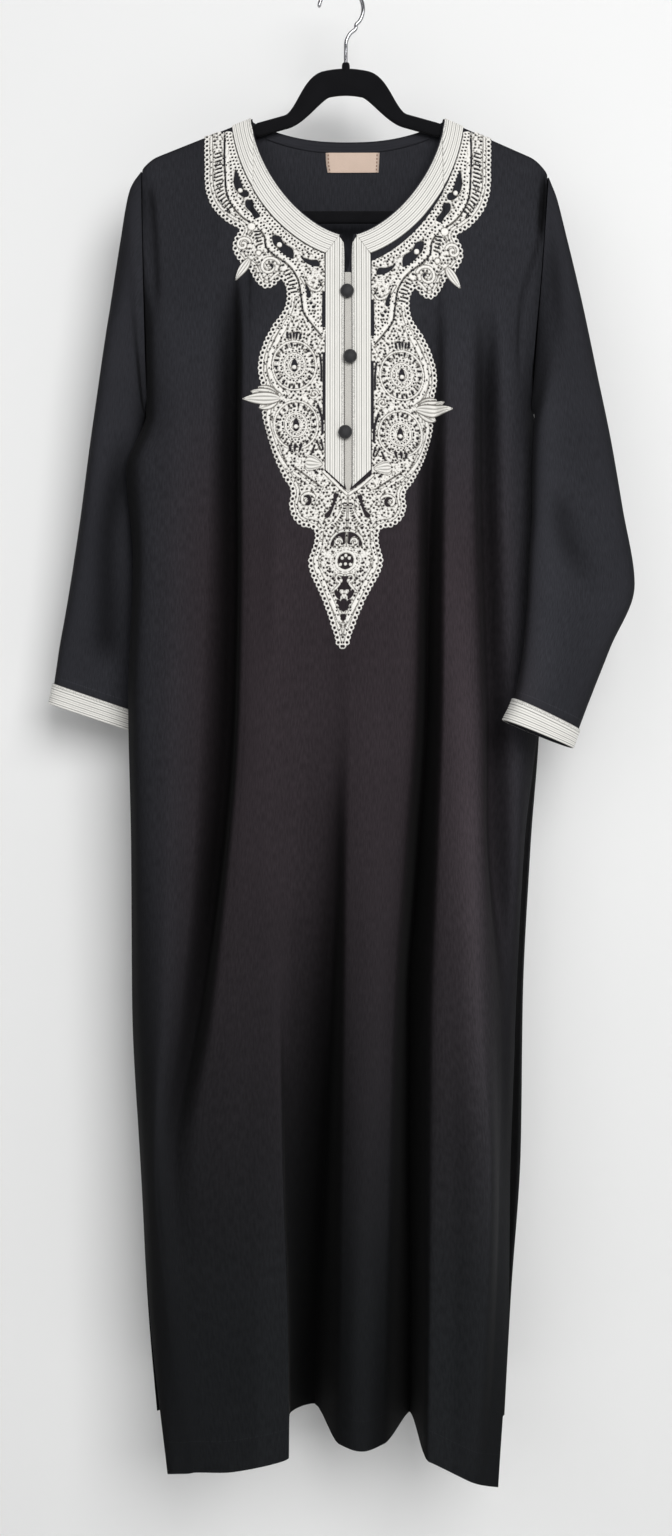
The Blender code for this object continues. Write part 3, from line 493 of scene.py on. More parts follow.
class Sketch:
    """A node tree, written one node at a time, with the shared groups at hand."""

    def __init__(self, tree: Tree, groups: dict[str, Tree]) -> None:
        """Holds the tree that the nodes go into, and the shared groups by name."""
        self.tree, self.groups = tree, groups

    def add(self, kind: str, inputs: dict | None = None, **settings: object) -> bpy.types.Node:
        """Adds a node.

        Args:
            kind: The node's type in Blender, without its "ShaderNode".
            inputs: A value or a socket for each input that is set.
            settings: The node's own settings.

        Returns:
            The new node.
        """
        node = self.tree.nodes.new("ShaderNode" + kind)
        for key, value in settings.items():
            setattr(node, key, value)
        for key, value in (inputs or {}).items():
            if isinstance(value, Socket):
                self.tree.links.new(value, node.inputs[key])
            else:
                node.inputs[key].default_value = value
        return node

    def maths(self, operation: str, *values: object) -> Socket:
        """The result of one sum."""
        return self.add("Math", dict(enumerate(values)), operation=operation).outputs[0]

    def product(self, first: object, *others: object) -> Socket:
        """All the values multiplied.

        Args:
            first: The first value.
            others: What it is multiplied by.

        Returns:
            The product.
        """
        for other in others:
            first = self.maths("MULTIPLY", first, other)
        return first

    def apart(self, value: Socket, middle: float) -> Socket:
        """How far a value is from a middle."""
        return self.maths("ABSOLUTE", self.maths("SUBTRACT", value, middle))

    def dashes(self, value: Socket, count: float, gap: float) -> Socket:
        """1 on each dash of a row of stitches, 0 in the gaps."""
        return self.maths("GREATER_THAN", self.maths("FRACT", self.maths("MULTIPLY", value, count)), gap)

    def stretch(
        self, value: Socket, low: float, high: float, to_low: float = 0.0, to_high: float = 1.0
    ) -> Socket:
        """The value moved softly from one range to another."""
        inputs = {0: value, 1: low, 2: high, 3: to_low, 4: to_high}
        return self.add("MapRange", inputs, interpolation_type="SMOOTHSTEP").outputs[0]

    def blend(self, share: object, first: Socket | Colour, second: Socket | Colour) -> Socket:
        """A colour between two colours."""
        first, second = (c if isinstance(c, Socket) else (*c, 1.0) for c in (first, second))
        return self.add("Mix", {0: share, 6: first, 7: second}, data_type="RGBA").outputs[2]

    def toned(self, colour: Socket | Colour, tone: Socket) -> Socket:
        """A colour made lighter or darker by a tone.

        Args:
            colour: The colour.
            tone: Its tone, 1 where it stays.

        Returns:
            The new colour.
        """
        grey = self.add("CombineColor", {0: tone, 1: tone, 2: tone}).outputs[0]
        inputs = {0: 1.0, 6: colour if isinstance(colour, Socket) else (*colour, 1.0), 7: grey}
        return self.add("Mix", inputs, data_type="RGBA", blend_type="MULTIPLY").outputs[2]

    def noise(self, place: Socket, scale: object, detail: float = 3.0) -> Socket:
        """Even noise from 0 to 1."""
        return self.add("TexNoise", {"Vector": place, "Scale": scale, "Detail": detail}).outputs[0]

    def scaled(self, place: Socket, scale: Triple) -> Socket:
        """A place with each of its axes scaled."""
        return self.add("Mapping", {0: place, 3: scale}).outputs[0]

    def place(self) -> Socket:
        """The place on the piece."""
        return self.add("TexCoord").outputs["Object"]

    def lay(self, name: str) -> Socket:
        """The place on one of the piece's UV maps."""
        return self.add("UVMap", uv_map=name).outputs[0]

    def kept(self, name: str) -> Socket:
        """The value of one of the piece's attributes."""
        return self.add("Attribute", attribute_name=name).outputs["Fac"]

    def parts(self, place: Socket) -> Sequence[Socket]:
        """The three parts of a place."""
        return self.add("SeparateXYZ", {0: place}).outputs

    def group(self, name: str, **inputs: object) -> Socket:
        """The result of a shared group."""
        given = {key.capitalize(): value for key, value in inputs.items()}
        return self.add("Group", given, node_tree=self.groups[name]).outputs[0]


def shared_group(name: str, inputs: dict[str, float | None], output: str) -> tuple[Sketch, dict, Socket]:
    """Starts a shared shader group.

    Args:
        name: The group's name.
        inputs: Each input's name and value, or None for a place.
        output: The name of the value that it gives.

    Returns:
        Its sketch, its inputs by name, and the socket that takes its result.
    """
    tree = bpy.data.node_groups.new(name, "ShaderNodeTree")
    for key, value in inputs.items():
        kind = "NodeSocketVector" if value is None else "NodeSocketFloat"
        made = tree.interface.new_socket(key, in_out="INPUT", socket_type=kind)
        if value is not None:
            made.default_value = value
    tree.interface.new_socket(output, in_out="OUTPUT", socket_type="NodeSocketFloat")
    start, end = tree.nodes.new("NodeGroupInput"), tree.nodes.new("NodeGroupOutput")
    return Sketch(tree, {}), {key: start.outputs[key] for key in inputs}, end.inputs[0]


def weave_group() -> Tree:
    """Makes the group of threads that pass over and under each other, a little unevenly.

    Returns:
        The group's nodes.
    """
    inputs = {"Place": None, "Across": 1200.0, "Along": 1200.0, "Slub": 1.0}
    sketch, given, result = shared_group("Woven threads", inputs, "Height")
    parts = sketch.parts(given["Place"])
    drift = sketch.product(sketch.noise(given["Place"], 90.0, 2.0), given["Slub"])
    over, under = (
        sketch.maths("SINE", sketch.product(sketch.maths("MULTIPLY_ADD", part, given[key], drift), TURN))
        for part, key in zip(parts, ("Across", "Along"))
    )
    height = sketch.maths("MULTIPLY_ADD", sketch.product(over, under), 0.5, 0.5)
    sketch.tree.links.new(height, result)
    return sketch.tree


def mottle_group() -> Tree:
    """Makes the group of a tone near 1 that drifts over the cloth, as dye and light wear leave it.

    Returns:
        The group's nodes.
    """
    inputs = {"Place": None, "Scale": 20.0, "Strength": 0.1}
    sketch, given, result = shared_group("Mottled tone", inputs, "Tone")
    noise = sketch.noise(given["Place"], given["Scale"], 4.0)
    swing = sketch.product(sketch.maths("SUBTRACT", noise, 0.5), 2.0)
    sketch.tree.links.new(sketch.maths("MULTIPLY_ADD", swing, given["Strength"], 1.0), result)
    return sketch.tree


@dataclass(frozen=True)
class Look:
    """What a finish's nodes give: its colour, and the height, depth in metres and strength of its relief."""

    colour: Socket
    height: Socket | None = None
    relief: float = 0.0
    strength: float = 0.0
    rough: Socket | None = None


@dataclass(frozen=True)
class Finish:
    """What every finish has: its name and its shader's plain values."""

    name: str
    roughness: float
    metallic: float = 0.0
    sheen: float = 0.0
    sheen_roughness: float = 0.5
    specular: float = 0.5

    def look(self, sketch: Sketch) -> Look:
        """The finish's own nodes."""
        raise NotImplementedError(self.name)

    def material(self, groups: dict[str, Tree]) -> Material:
        """Makes the finish's material.

        Args:
            groups: The shared groups by name.

        Returns:
            The new material.
        """
        made = bpy.data.materials.new(self.name)
        made.use_nodes = True
        shader = made.node_tree.nodes["Principled BSDF"]
        for key, value in (
            ("Roughness", self.roughness), ("Metallic", self.metallic), ("Sheen Weight", self.sheen),
            ("Sheen Roughness", self.sheen_roughness), ("Specular IOR Level", self.specular),
        ):
            shader.inputs[key].default_value = value
        sketch = Sketch(made.node_tree, groups)
        look = self.look(sketch)
        sketch.tree.links.new(look.colour, shader.inputs["Base Color"])
        if look.height:
            relief = {"Height": look.height, "Distance": look.relief, "Strength": look.strength}
            sketch.tree.links.new(sketch.add("Bump", relief).outputs[0], shader.inputs["Normal"])
        if look.rough:
            sketch.tree.links.new(look.rough, shader.inputs["Roughness"])
        return made


@dataclass(frozen=True)
class Crepe(Finish):
    """Dull black crepe, with a breath of plum at the hip, fine vertical grain, a stitched hem, and painted
    shade: darker towards the hem, where seen at a slant and in its folds.
    """

    upper: Colour = (0.0232, 0.0236, 0.0280)
    middle: Colour = (0.0268, 0.0212, 0.0244)
    # The lower colour is painted shade, as the light falls off towards the hem
    lower: Colour = (0.0092, 0.0100, 0.0111)
    hem_stitch: float = 0.030
    # How dark the crepe is painted where it is seen at a slant: painted shade on the slopes of its folds
    at_a_slant: float = 0.62

    def look(self, sketch: Sketch) -> Look:
        """The crepe's nodes: its UV map "cut" is in metres, and its attribute "shadow" darkens it.

        Args:
            sketch: Where the nodes go.

        Returns:
            What they give.
        """
        place, cut = sketch.place(), sketch.lay("cut")
        x, _, z = sketch.parts(place)
        u, v, _ = sketch.parts(cut)
        off_middle = sketch.stretch(sketch.maths("ABSOLUTE", x), 0.12, 0.21, 1.0, 0.0)
        to_hip = sketch.product(sketch.stretch(z, -0.35, -0.62), off_middle)
        upper = sketch.blend(to_hip, self.upper, self.middle)
        # Darker towards the hem: painted shade
        colour = sketch.blend(sketch.stretch(z, -0.72, -1.40), upper, self.lower)
        grain = sketch.noise(sketch.scaled(cut, (950.0, 110.0, 1.0)), 1.0)
        near_hem = sketch.maths("LESS_THAN", sketch.apart(v, self.hem_stitch), 0.0005)
        stitch = sketch.product(near_hem, sketch.dashes(u, 330.0, 0.3))
        # Painted shade: the cloth darkens where it is seen at a slant
        slant = sketch.add("LayerWeight", {"Blend": 0.5}).outputs["Facing"]
        tone = sketch.product(
            sketch.group("mottle", place=place, scale=14.0, strength=0.10),
            sketch.stretch(grain, 0.28, 0.72, 0.80, 1.20),
            sketch.maths("MULTIPLY_ADD", stitch, 0.35, 1.0),
            sketch.stretch(slant, 0.02, 0.6, 1.0, self.at_a_slant),
            sketch.maths("SUBTRACT", 1.0, sketch.kept("shadow")),
        )
        threads = sketch.group("weave", place=cut, across=1150.0, along=950.0, slub=2.4)
        crinkle = sketch.noise(sketch.scaled(cut, (620.0, 420.0, 1.0)), 1.0)
        height = sketch.maths("MULTIPLY_ADD", threads, 0.25, crinkle)
        height = sketch.maths("MULTIPLY_ADD", stitch, -0.8, height)
        return Look(sketch.toned(colour, tone), height, 0.0004, 0.35)


@dataclass(frozen=True)
class Braid(Finish):
    """Off-white braid of fine cords side by side, each plaited, with sewing between them and painted shade in
    the grooves.
    """

    crown: Colour = (0.80, 0.785, 0.745)
    # The grooves' colour is painted shade between the ribs
    groove_shade: Colour = (0.50, 0.49, 0.45)
    seam: Colour = (0.17, 0.165, 0.15)
    plaits: float = 1700.0

    def look(self, sketch: Sketch) -> Look:
        """The braid's nodes: its UV map "ribs" counts ribs across and gives metres along.

        Args:
            sketch: Where the nodes go.

        Returns:
            What they give.
        """
        rib, length, _ = sketch.parts(sketch.lay("ribs"))
        place = sketch.place()
        plait = sketch.maths("ABSOLUTE", sketch.maths("SINE", sketch.product(length, self.plaits)))
        fuzz = sketch.noise(place, 900.0, 2.0)
        on_rib = sketch.stretch(sketch.apart(sketch.maths("FRACT", rib), 0.5), 0.22, 0.5, 1.0, 0.0)
        pair = sketch.maths("COSINE", sketch.product(rib, math.pi))
        # Painted shade in the grooves, darkest where the sewing runs in every second groove
        deep = sketch.blend(sketch.stretch(pair, -0.6, 0.6), self.groove_shade, self.seam)
        rope = sketch.product(
            sketch.stretch(rib, 1.1, 1.5, 1.0, 0.0), sketch.stretch(fuzz, 0.42, 0.6, 1.0, 0.0)
        )
        tone = sketch.product(
            sketch.group("mottle", place=place, scale=45.0, strength=0.05),
            sketch.stretch(plait, 0.0, 1.0, 0.97, 1.01),
            sketch.maths("MULTIPLY_ADD", rope, -0.35, 1.0),
        )
        height = sketch.maths("MULTIPLY_ADD", fuzz, 0.5, plait)
        return Look(sketch.toned(sketch.blend(on_rib, deep, self.crown), tone), height, 0.0004, 0.3)


@dataclass(frozen=True)
class Ribbon(Finish):
    """The grey-white strip between the placket braids, a coarse open weave over the dark cloth."""

    thread: Colour = (0.70, 0.68, 0.63)
    between: Colour = (0.22, 0.21, 0.20)

    def look(self, sketch: Sketch) -> Look:
        """The strip's nodes: its UV map "ribs" counts threads across and gives metres along.

        Args:
            sketch: Where the nodes go.

        Returns:
            What they give.
        """
        lay = sketch.lay("ribs")
        threads = sketch.group("weave", place=lay, across=1.0, along=420.0, slub=0.15)
        colour = sketch.blend(sketch.stretch(threads, 0.15, 0.6), self.between, self.thread)
        tone = sketch.group("mottle", place=lay, scale=60.0, strength=0.12)
        return Look(sketch.toned(colour, tone), threads, 0.0005, 0.7)


@dataclass(frozen=True)
class Lace(Finish):
    """Off-white cords and knots: bright on top, shaded where they go down to the cloth."""

    top: Colour = (0.84, 0.82, 0.775)
    # The foot colour is painted shade, where the cords go down to the cloth
    foot: Colour = (0.13, 0.12, 0.105)

    def look(self, sketch: Sketch) -> Look:
        """The lace's nodes: its attribute "rise" says how high each place stands, and the low places take
        painted shade.

        Args:
            sketch: Where the nodes go.

        Returns:
            What they give.
        """
        place = sketch.place()
        fuzz = sketch.noise(place, 1500.0, 2.0)
        colour = sketch.blend(sketch.stretch(sketch.kept("rise"), 0.02, 0.85), self.foot, self.top)
        mottle = sketch.group("mottle", place=place, scale=50.0, strength=0.05)
        tone = sketch.product(mottle, sketch.stretch(fuzz, 0.2, 0.8, 0.93, 1.05))
        return Look(sketch.toned(colour, tone), fuzz, 0.0004, 0.5)


@dataclass(frozen=True)
class ButtonCloth(Finish):
    """Fine black cloth stretched over a ball."""

    thread: Colour = (0.013, 0.013, 0.015)
    between: Colour = (0.0091, 0.0091, 0.0105)

    def look(self, sketch: Sketch) -> Look:
        """The covered button's nodes, woven as seen from the front.

        Args:
            sketch: Where the nodes go.

        Returns:
            What they give.
        """
        place = sketch.place()
        x, y, z = sketch.parts(place)
        seen = sketch.add("CombineXYZ", {0: x, 1: z, 2: y}).outputs[0]
        threads = sketch.group("weave", place=seen, across=900.0, along=900.0, slub=0.6)
        tone = sketch.group("mottle", place=place, scale=120.0, strength=0.15)
        colour = sketch.blend(threads, self.between, self.thread)
        return Look(sketch.toned(colour, tone), threads, 0.0003, 0.5)


@dataclass(frozen=True)
class Label(Finish):
    """A plain peach satin label, darker at its sewn ends."""

    base: Colour = (0.60, 0.455, 0.365)
    stitch: Colour = (0.20, 0.11, 0.07)

    def look(self, sketch: Sketch) -> Look:
        """The label's nodes: its UV map "ribs" runs from 0 to 1 across and gives metres down.

        Args:
            sketch: Where the nodes go.

        Returns:
            What they give.
        """
        lay = sketch.lay("ribs")
        u, v, _ = sketch.parts(lay)
        threads = sketch.group("weave", place=lay, across=60.0, along=1400.0, slub=0.5)
        from_middle = sketch.apart(u, 0.5)
        in_row = sketch.maths("LESS_THAN", sketch.apart(from_middle, 0.455), 0.012)
        tone = sketch.product(
            sketch.group("mottle", place=sketch.place(), scale=70.0, strength=0.06),
            sketch.stretch(from_middle, 0.42, 0.5, 1.0, 0.62),
            sketch.stretch(threads, 0.0, 1.0, 0.90, 1.04),
        )
        sewn = sketch.product(in_row, sketch.dashes(v, 290.0, 0.45))
        return Look(sketch.blend(sewn, sketch.toned(self.base, tone), self.stitch), threads, 0.0002, 0.4)


@dataclass(frozen=True)
class Velvet(Finish):
    """Black flock on the hanger, brighter where the pile catches the light."""

    shade: Colour = (0.0045, 0.0045, 0.0052)
    light: Colour = (0.0081, 0.0081, 0.00936)

    def look(self, sketch: Sketch) -> Look:
        """The velvet's nodes.

        Args:
            sketch: Where the nodes go.

        Returns:
            What they give.
        """
        place = sketch.place()
        pile = sketch.noise(place, 2400.0, 2.0)
        tone = sketch.group("mottle", place=place, scale=60.0, strength=0.25)
        return Look(sketch.toned(sketch.blend(pile, self.shade, self.light), tone), pile, 0.0005, 0.6)


@dataclass(frozen=True)
class Chrome(Finish):
    """Polished plated wire with faint drawing marks."""

    bright: Colour = (0.50, 0.50, 0.515)
    dull: Colour = (0.42, 0.42, 0.44)

    def look(self, sketch: Sketch) -> Look:
        """The wire's nodes.

        Args:
            sketch: Where the nodes go.

        Returns:
            What they give.
        """
        place = sketch.place()
        marks = sketch.noise(sketch.scaled(place, (1.0, 1.0, 0.25)), 900.0)
        tone = sketch.group("mottle", place=place, scale=90.0, strength=0.05)
        colour = sketch.toned(sketch.blend(marks, self.bright, self.dull), tone)
        return Look(colour, marks, 0.0001, 0.15, sketch.stretch(marks, 0.3, 0.8, 0.09, 0.2))


@dataclass(frozen=True)
class Plaster(Finish):
    """A plain pale wall and floor, seen through from behind so that the back can be looked at."""

    base: Colour = (0.83, 0.83, 0.825)

    def look(self, sketch: Sketch) -> Look:
        """The wall's nodes."""
        tone = sketch.group("mottle", place=sketch.place(), scale=3.0, strength=0.012)
        return Look(sketch.toned(self.base, tone))

    def material(self, groups: dict[str, Tree]) -> Material:
        """Makes the wall's material, clear on its back.

        Args:
            groups: The shared groups by name.

        Returns:
            The new material.
        """
        made = super().material(groups)
        sketch, nodes = Sketch(made.node_tree, groups), made.node_tree.nodes
        shader, output = nodes["Principled BSDF"].outputs[0], nodes["Material Output"].inputs[0]
        behind = sketch.add("NewGeometry").outputs["Backfacing"]
        both = {0: behind, 1: shader, 2: sketch.add("BsdfTransparent").outputs[0]}
        sketch.tree.links.new(sketch.add("MixShader", both).outputs[0], output)
        return made


FINISHES = {
    "crepe": Crepe("Black crepe", 0.85, sheen=0.015, specular=0.06),
    "braid": Braid("Ivory braid", 0.62, sheen=0.15, specular=0.3),
    "ribbon": Ribbon("Grey strip", 0.7, sheen=0.1, specular=0.25),
    "lace": Lace("Ivory lace", 0.6, sheen=0.12, specular=0.3),
    "button": ButtonCloth("Covered button", 0.55, sheen=0.2, specular=0.4),
    "label": Label("Peach label", 0.5, sheen=0.2, specular=0.4),
    "velvet": Velvet("Black velvet", 0.95, sheen=0.12, sheen_roughness=0.35, specular=0.08),
    "chrome": Chrome("Chrome wire", 0.12, metallic=1.0),
    "plaster": Plaster("Pale wall", 0.9, specular=0.2),
}


@dataclass(frozen=True)
class Tag:
    """A piece's name, the solid that it stands for, and the slot for its finish."""

    name: str
    node: str
    slot: str

    def put_on(self, piece: Piece) -> Piece:
        """Hangs the piece on the root and hides the solid that it stands for.

        Args:
            piece: The piece.

        Returns:
            The same piece.
        """
        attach(piece, "root")
        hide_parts(self.node)
        return piece


def mesh_piece(
    tag: Tag, points: Array, faces: Sequence[Sequence[int]], finish: Material,
    laid: dict[str, Array] | None = None, marks: dict[str, Array] | None = None,
) -> Piece:
    """Makes a smooth piece that replaces a solid.

    Args:
        tag: What the piece is.
        points: Its points in millimetres, (across, depth, drop).
        faces: The points of each face.
        finish: Its material.
        laid: UV maps by name, a row for each point.
        marks: Attributes by name, a value for each point.

    Returns:
        The new object.
    """
    mesh = bpy.data.meshes.new(tag.name)
    mesh.from_pydata(metres(points).tolist(), [], faces)
    corner = np.zeros(len(mesh.loops), np.int32)
    mesh.loops.foreach_get("vertex_index", corner)
    for key, places in (laid or {}).items():
        mesh.uv_layers.new(name=key).data.foreach_set("uv", np.asarray(places, np.float32)[corner].ravel())
    for key, values in (marks or {}).items():
        mesh.attributes.new(key, "FLOAT", "POINT").data.foreach_set("value", np.asarray(values, np.float32))
    work = bmesh.new()
    work.from_mesh(mesh)
    bmesh.ops.recalc_face_normals(work, faces=work.faces)
    work.to_mesh(mesh)
    work.free()
    mesh.materials.append(finish)
    mesh.shade_smooth()
    mesh.set_sharp_from_angle(angle=math.radians(60))
    piece = bpy.data.objects.new(tag.name, mesh)
    bpy.context.collection.objects.link(piece)
    return tag.put_on(piece)


def wall_piece(
    tag: Tag, outer: Array, inner: Array, finish: Material, laid: dict[str, Array],
    marks: dict[str, Array] | None = None, closed: bool = False,
) -> Piece:
    """Makes a piece from a thin wall between two grids of points.

    Args:
        tag: What the piece is.
        outer: The points of its outer face, rows by columns by three.
        inner: Those of its inner face.
        finish: Its material.
        laid: UV maps by name, rows by columns by two.
        marks: Attributes by name, rows by columns.
        closed: Whether its last column joins its first.

    Returns:
        The new object.
    """
    rows, columns = outer.shape[:2]
    count = rows * columns
    index = np.arange(count).reshape(rows, columns)
    if closed:
        index = np.concatenate([index, index[:, :1]], axis=1)
    quads = quads_of(index)
    faces = [quads, quads[:, ::-1] + count]
    for edge in (index[0], index[-1][::-1], *(() if closed else (index[::-1, 0], index[:, -1]))):
        faces.append(np.stack([edge[1:], edge[:-1], edge[:-1] + count, edge[1:] + count], axis=-1))
    points = np.concatenate([outer.reshape(-1, 3), inner.reshape(-1, 3)])
    laid = {key: np.tile(places.reshape(-1, 2), (2, 1)) for key, places in laid.items()}
    marks = {key: np.tile(values.ravel(), 2) for key, values in (marks or {}).items()}
    return mesh_piece(tag, points, np.concatenate(faces).tolist(), finish, laid, marks)


def grid_of(across: Array, down: Array) -> Array:
    """A UV map of rows by columns from its two parts, each of which may be one row or column."""
    return np.stack(np.broadcast_arrays(across, down), axis=-1)


class Ground:
    """The face of a fine panel, on which trims are laid."""

    def __init__(self, grid: Array) -> None:
        """Takes the panel's face.

        Args:
            grid: Rows and columns of points, in millimetres.
        """
        self.grid = grid
        self.turned = normals_of(grid, False)
        self.turned *= np.where(self.turned[..., 1:2] > 0, -1.0, 1.0)
        quads = quads_of(np.arange(grid[..., 0].size).reshape(grid.shape[:2]))
        self.tree = BVHTree.FromPolygons(grid.reshape(-1, 3).tolist(), quads.tolist())

    def touch(self, across: Array, drop: Array) -> tuple[Array, Array]:
        """Finds places on the face as seen from the front.

        Args:
            across: Each place's across.
            drop: Each place's drop.

        Returns:
            The points on the face and its smooth unit normals there, each in the shape of across
            with one more axis.
        """
        feet, quad = np.empty((*across.shape, 3)), np.empty(across.shape, int)
        ahead = Vector((0, 1, 0))
        for place in np.ndindex(across.shape):
            x, z = float(across[place]), float(drop[place])
            hit, _, face, _ = self.tree.ray_cast(Vector((x, -500.0, z)), ahead)
            if hit is None:
                hit, _, face, _ = self.tree.find_nearest(Vector((x, -30.0, z)))
            feet[place], quad[place] = hit, face
        row, column = np.divmod(quad, self.grid.shape[1] - 1)
        corners = [(row + down, column + over) for down in (0, 1) for over in (0, 1)]
        p00, p01, p10, p11 = (self.grid[corner] for corner in corners)
        over, down, away = (p01 - p00 + p11 - p10) / 2, (p10 - p00 + p11 - p01) / 2, feet - p00
        oo, dd, od = ((a * b).sum(-1) for a, b in ((over, over), (down, down), (over, down)))
        ao, ad = (away * over).sum(-1), (away * down).sum(-1)
        area = np.maximum(oo * dd - od**2, 1e-12)
        s = np.clip((ao * dd - ad * od) / area, 0, 1)[..., None]
        t = np.clip((ad * oo - ao * od) / area, 0, 1)[..., None]
        n00, n01, n10, n11 = (self.turned[corner] for corner in corners)
        normals = (1 - t) * ((1 - s) * n00 + s * n01) + t * ((1 - s) * n10 + s * n11)
        return feet, normals / np.linalg.norm(normals, axis=-1, keepdims=True)

    def faces(self, places: Array, lift: float, height: Array) -> tuple[Array, Array]:
        """Lays a wall on the face.

        Args:
            places: Rows and columns of (across, drop).
            lift: How far its inner face lies off the ground.
            height: How thick it is at each place.

        Returns:
            Its outer and its inner points.
        """
        feet, normals = self.touch(places[..., 0], places[..., 1])
        return feet + normals * (lift + height)[..., None], feet + normals * lift


@dataclass
class Panel:
    """A front or back panel, from the shoulder to the hem."""

    face: Face
    folds: tuple[Fold, ...]
    columns: Array
    rows: Array
    creases: tuple[Crease, ...]
    seed: int
    sway: float = 0.5
    still_drops: Place = (8, 60)
    still_columns: float = 10.0
    armhole_shade: float = 0.35
    armhole_drops: Place = (380, 470)
    outer: Array = field(init=False)
    inner: Array = field(init=False)

    def head(self, bust: float) -> tuple[float, list[Place], bool]:
        """The top of one column.

        Args:
            bust: The column's across at the bust.

        Returns:
            Its top's across, its knots (drop, depth) above the bust, and whether it ends on the
            shoulder seam.
        """
        first, last = self.folds[0].across[0], self.folds[-1].across[0]
        left = max(0.0, (CENTRE - NECK_HALF - bust) / (CENTRE - NECK_HALF - first))
        right = max(0.0, (bust - CENTRE - NECK_HALF) / (last - CENTRE - NECK_HALF))
        top_across = bust + (TIPS[0] - first) * left**2 + (TIPS[1] - last) * right**2
        on_shoulder = abs(top_across - CENTRE) >= NECK_HALF - 0.01
        base = CHEST_DEPTH - (CHEST_DEPTH - ARMHOLE_HALF_DEPTH) * abs(bust / HALF_CHEST) ** CHEST_ROUNDNESS
        if on_shoulder:
            top, r = float(shoulder_drop(top_across)), SHOULDER_ROUND
            roll = [(top, SEAM_GAP / 2), (top + SEAM_ROLL, 3.2), (top + r, r)]
            knots = [*roll, (top + 40, r + 0.35 * (base - r))]
        elif self.face is Face.FRONT:
            top = neckline_drop(top_across)
            knots = [(top, 5 + 0.17 * (top - NECK_DROP))]
        else:
            top = float(back_neck_drop(top_across))
            knots = [(top, 5 + 0.3 * (top - NECK_DROP))]
        if knots[-1][0] < CHEST_DROP - 15:
            knots.append((CHEST_DROP, base))
        return top_across, knots, on_shoulder

    def column(self, bust: float, across: Array, depth: Array, foot: float, end: int) -> tuple[Array, bool]:
        """One column of the middle of the cloth.

        Args:
            bust: Its across at the bust.
            across: Its across at each of STATIONS.
            depth: Its depth there.
            foot: Its drop at the hem.
            end: 0 or 1 where it is the panel's left or right edge, or else -1.

        Returns:
            Its points, and whether it ends on the shoulder seam.
        """
        top_across, knots, on_shoulder = self.head(bust)
        stations, across, depth = np.array(STATIONS, float), across.copy(), depth.copy()
        if end >= 0:
            stations[0], across[0] = UNDERARM_DROP, UNDERARMS[end]
            depth[0] = self.face.value * (CLOTH + SEAM_GAP) / 2
        drops = np.array([drop for drop, _ in knots])
        top = drops[0]
        lean = (top_across - across[0]) / (stations[0] - top)
        knot_drops = np.array([*drops, *stations[:-1], max(foot, stations[-1])])
        knot_across = np.array([*(across[0] + lean * (stations[0] - drops)), *across])
        knot_depth = np.array([*(self.face.value * d for _, d in knots), *depth])
        near = np.array([0, 0.5, SEAM_ROLL, 2.2, 3.5, SHOULDER_ROUND]) / (foot - top)
        at = top + (foot - top) * np.concatenate([near, self.rows])
        depths = smooth_through(knot_drops, knot_depth, at)
        if end >= 0:
            share = np.minimum(np.abs(2 * (at - top) / (UNDERARM_DROP - top) - 1), 1)
            open_to = ARMHOLE_HALF_DEPTH * (1 - share**ARMHOLE_ROUNDNESS) ** (1 / ARMHOLE_ROUNDNESS)
            open_to = np.maximum(open_to, (CLOTH + SEAM_GAP) / 2)
            depths = np.where(at < UNDERARM_DROP, self.face.value * open_to, depths)
        return np.stack([smooth_through(knot_drops, knot_across, at), depths, at], axis=1), on_shoulder

    def middle(self) -> tuple[Array, Array, Array]:
        """Works out the middle of the cloth.

        Returns:
            Its points, the directions of its thickness, and its cut (across, above the hem).
        """
        lines = range(len(self.folds))
        fine = np.linspace(0, len(self.folds) - 1, 900)
        at_bust = smooth_through(lines, [fold.across[0] for fold in self.folds], fine)
        places = np.interp(self.columns, at_bust, fine)
        stations = range(len(STATIONS))
        acrosses, depths = (
            np.array([smooth_through(lines, [line[k] for line in table], places) for k in stations])
            for table in ([fold.across for fold in self.folds], [fold.depth for fold in self.folds])
        )
        feet = smooth_through(lines, [fold.hem for fold in self.folds], places)
        ends = [0, *[-1] * (len(self.columns) - 2), 1]
        made = [
            self.column(float(bust), across, depth, float(foot), end)
            for bust, across, depth, foot, end in zip(self.columns, acrosses.T, depths.T, feet, ends)
        ]
        points = np.stack([column for column, _ in made], axis=1)
        turned = normals_of(points, False) * -self.face.value
        turned[:, 0] = turned[:, -1] = (0, self.face.value, 0)
        turned[0, [on_shoulder for _, on_shoulder in made]] = (0, 0, -1)
        return points, turned, grid_of(self.columns, feet - points[..., 2]) * 0.001

    def shadow(self) -> Array:
        """Works out the shade that the panel keeps.

        Returns:
            The share of its tone that each place loses to folds and armholes.
        """
        across, depth, drop = np.moveaxis(self.outer, -1, 0)
        from_side = np.minimum(np.arange(across.shape[1]), np.arange(across.shape[1])[::-1])
        by_armhole = (1 - fade(drop, *self.armhole_drops)) * np.exp(-from_side / 2.0)
        lit = 1 - fold_shadow(across, self.face.value * depth)
        shadow = 1 - lit * (1 - self.armhole_shade * by_armhole)
        return shadow - RIDGE_SHINE.press(across, drop) if self.face is Face.FRONT else shadow

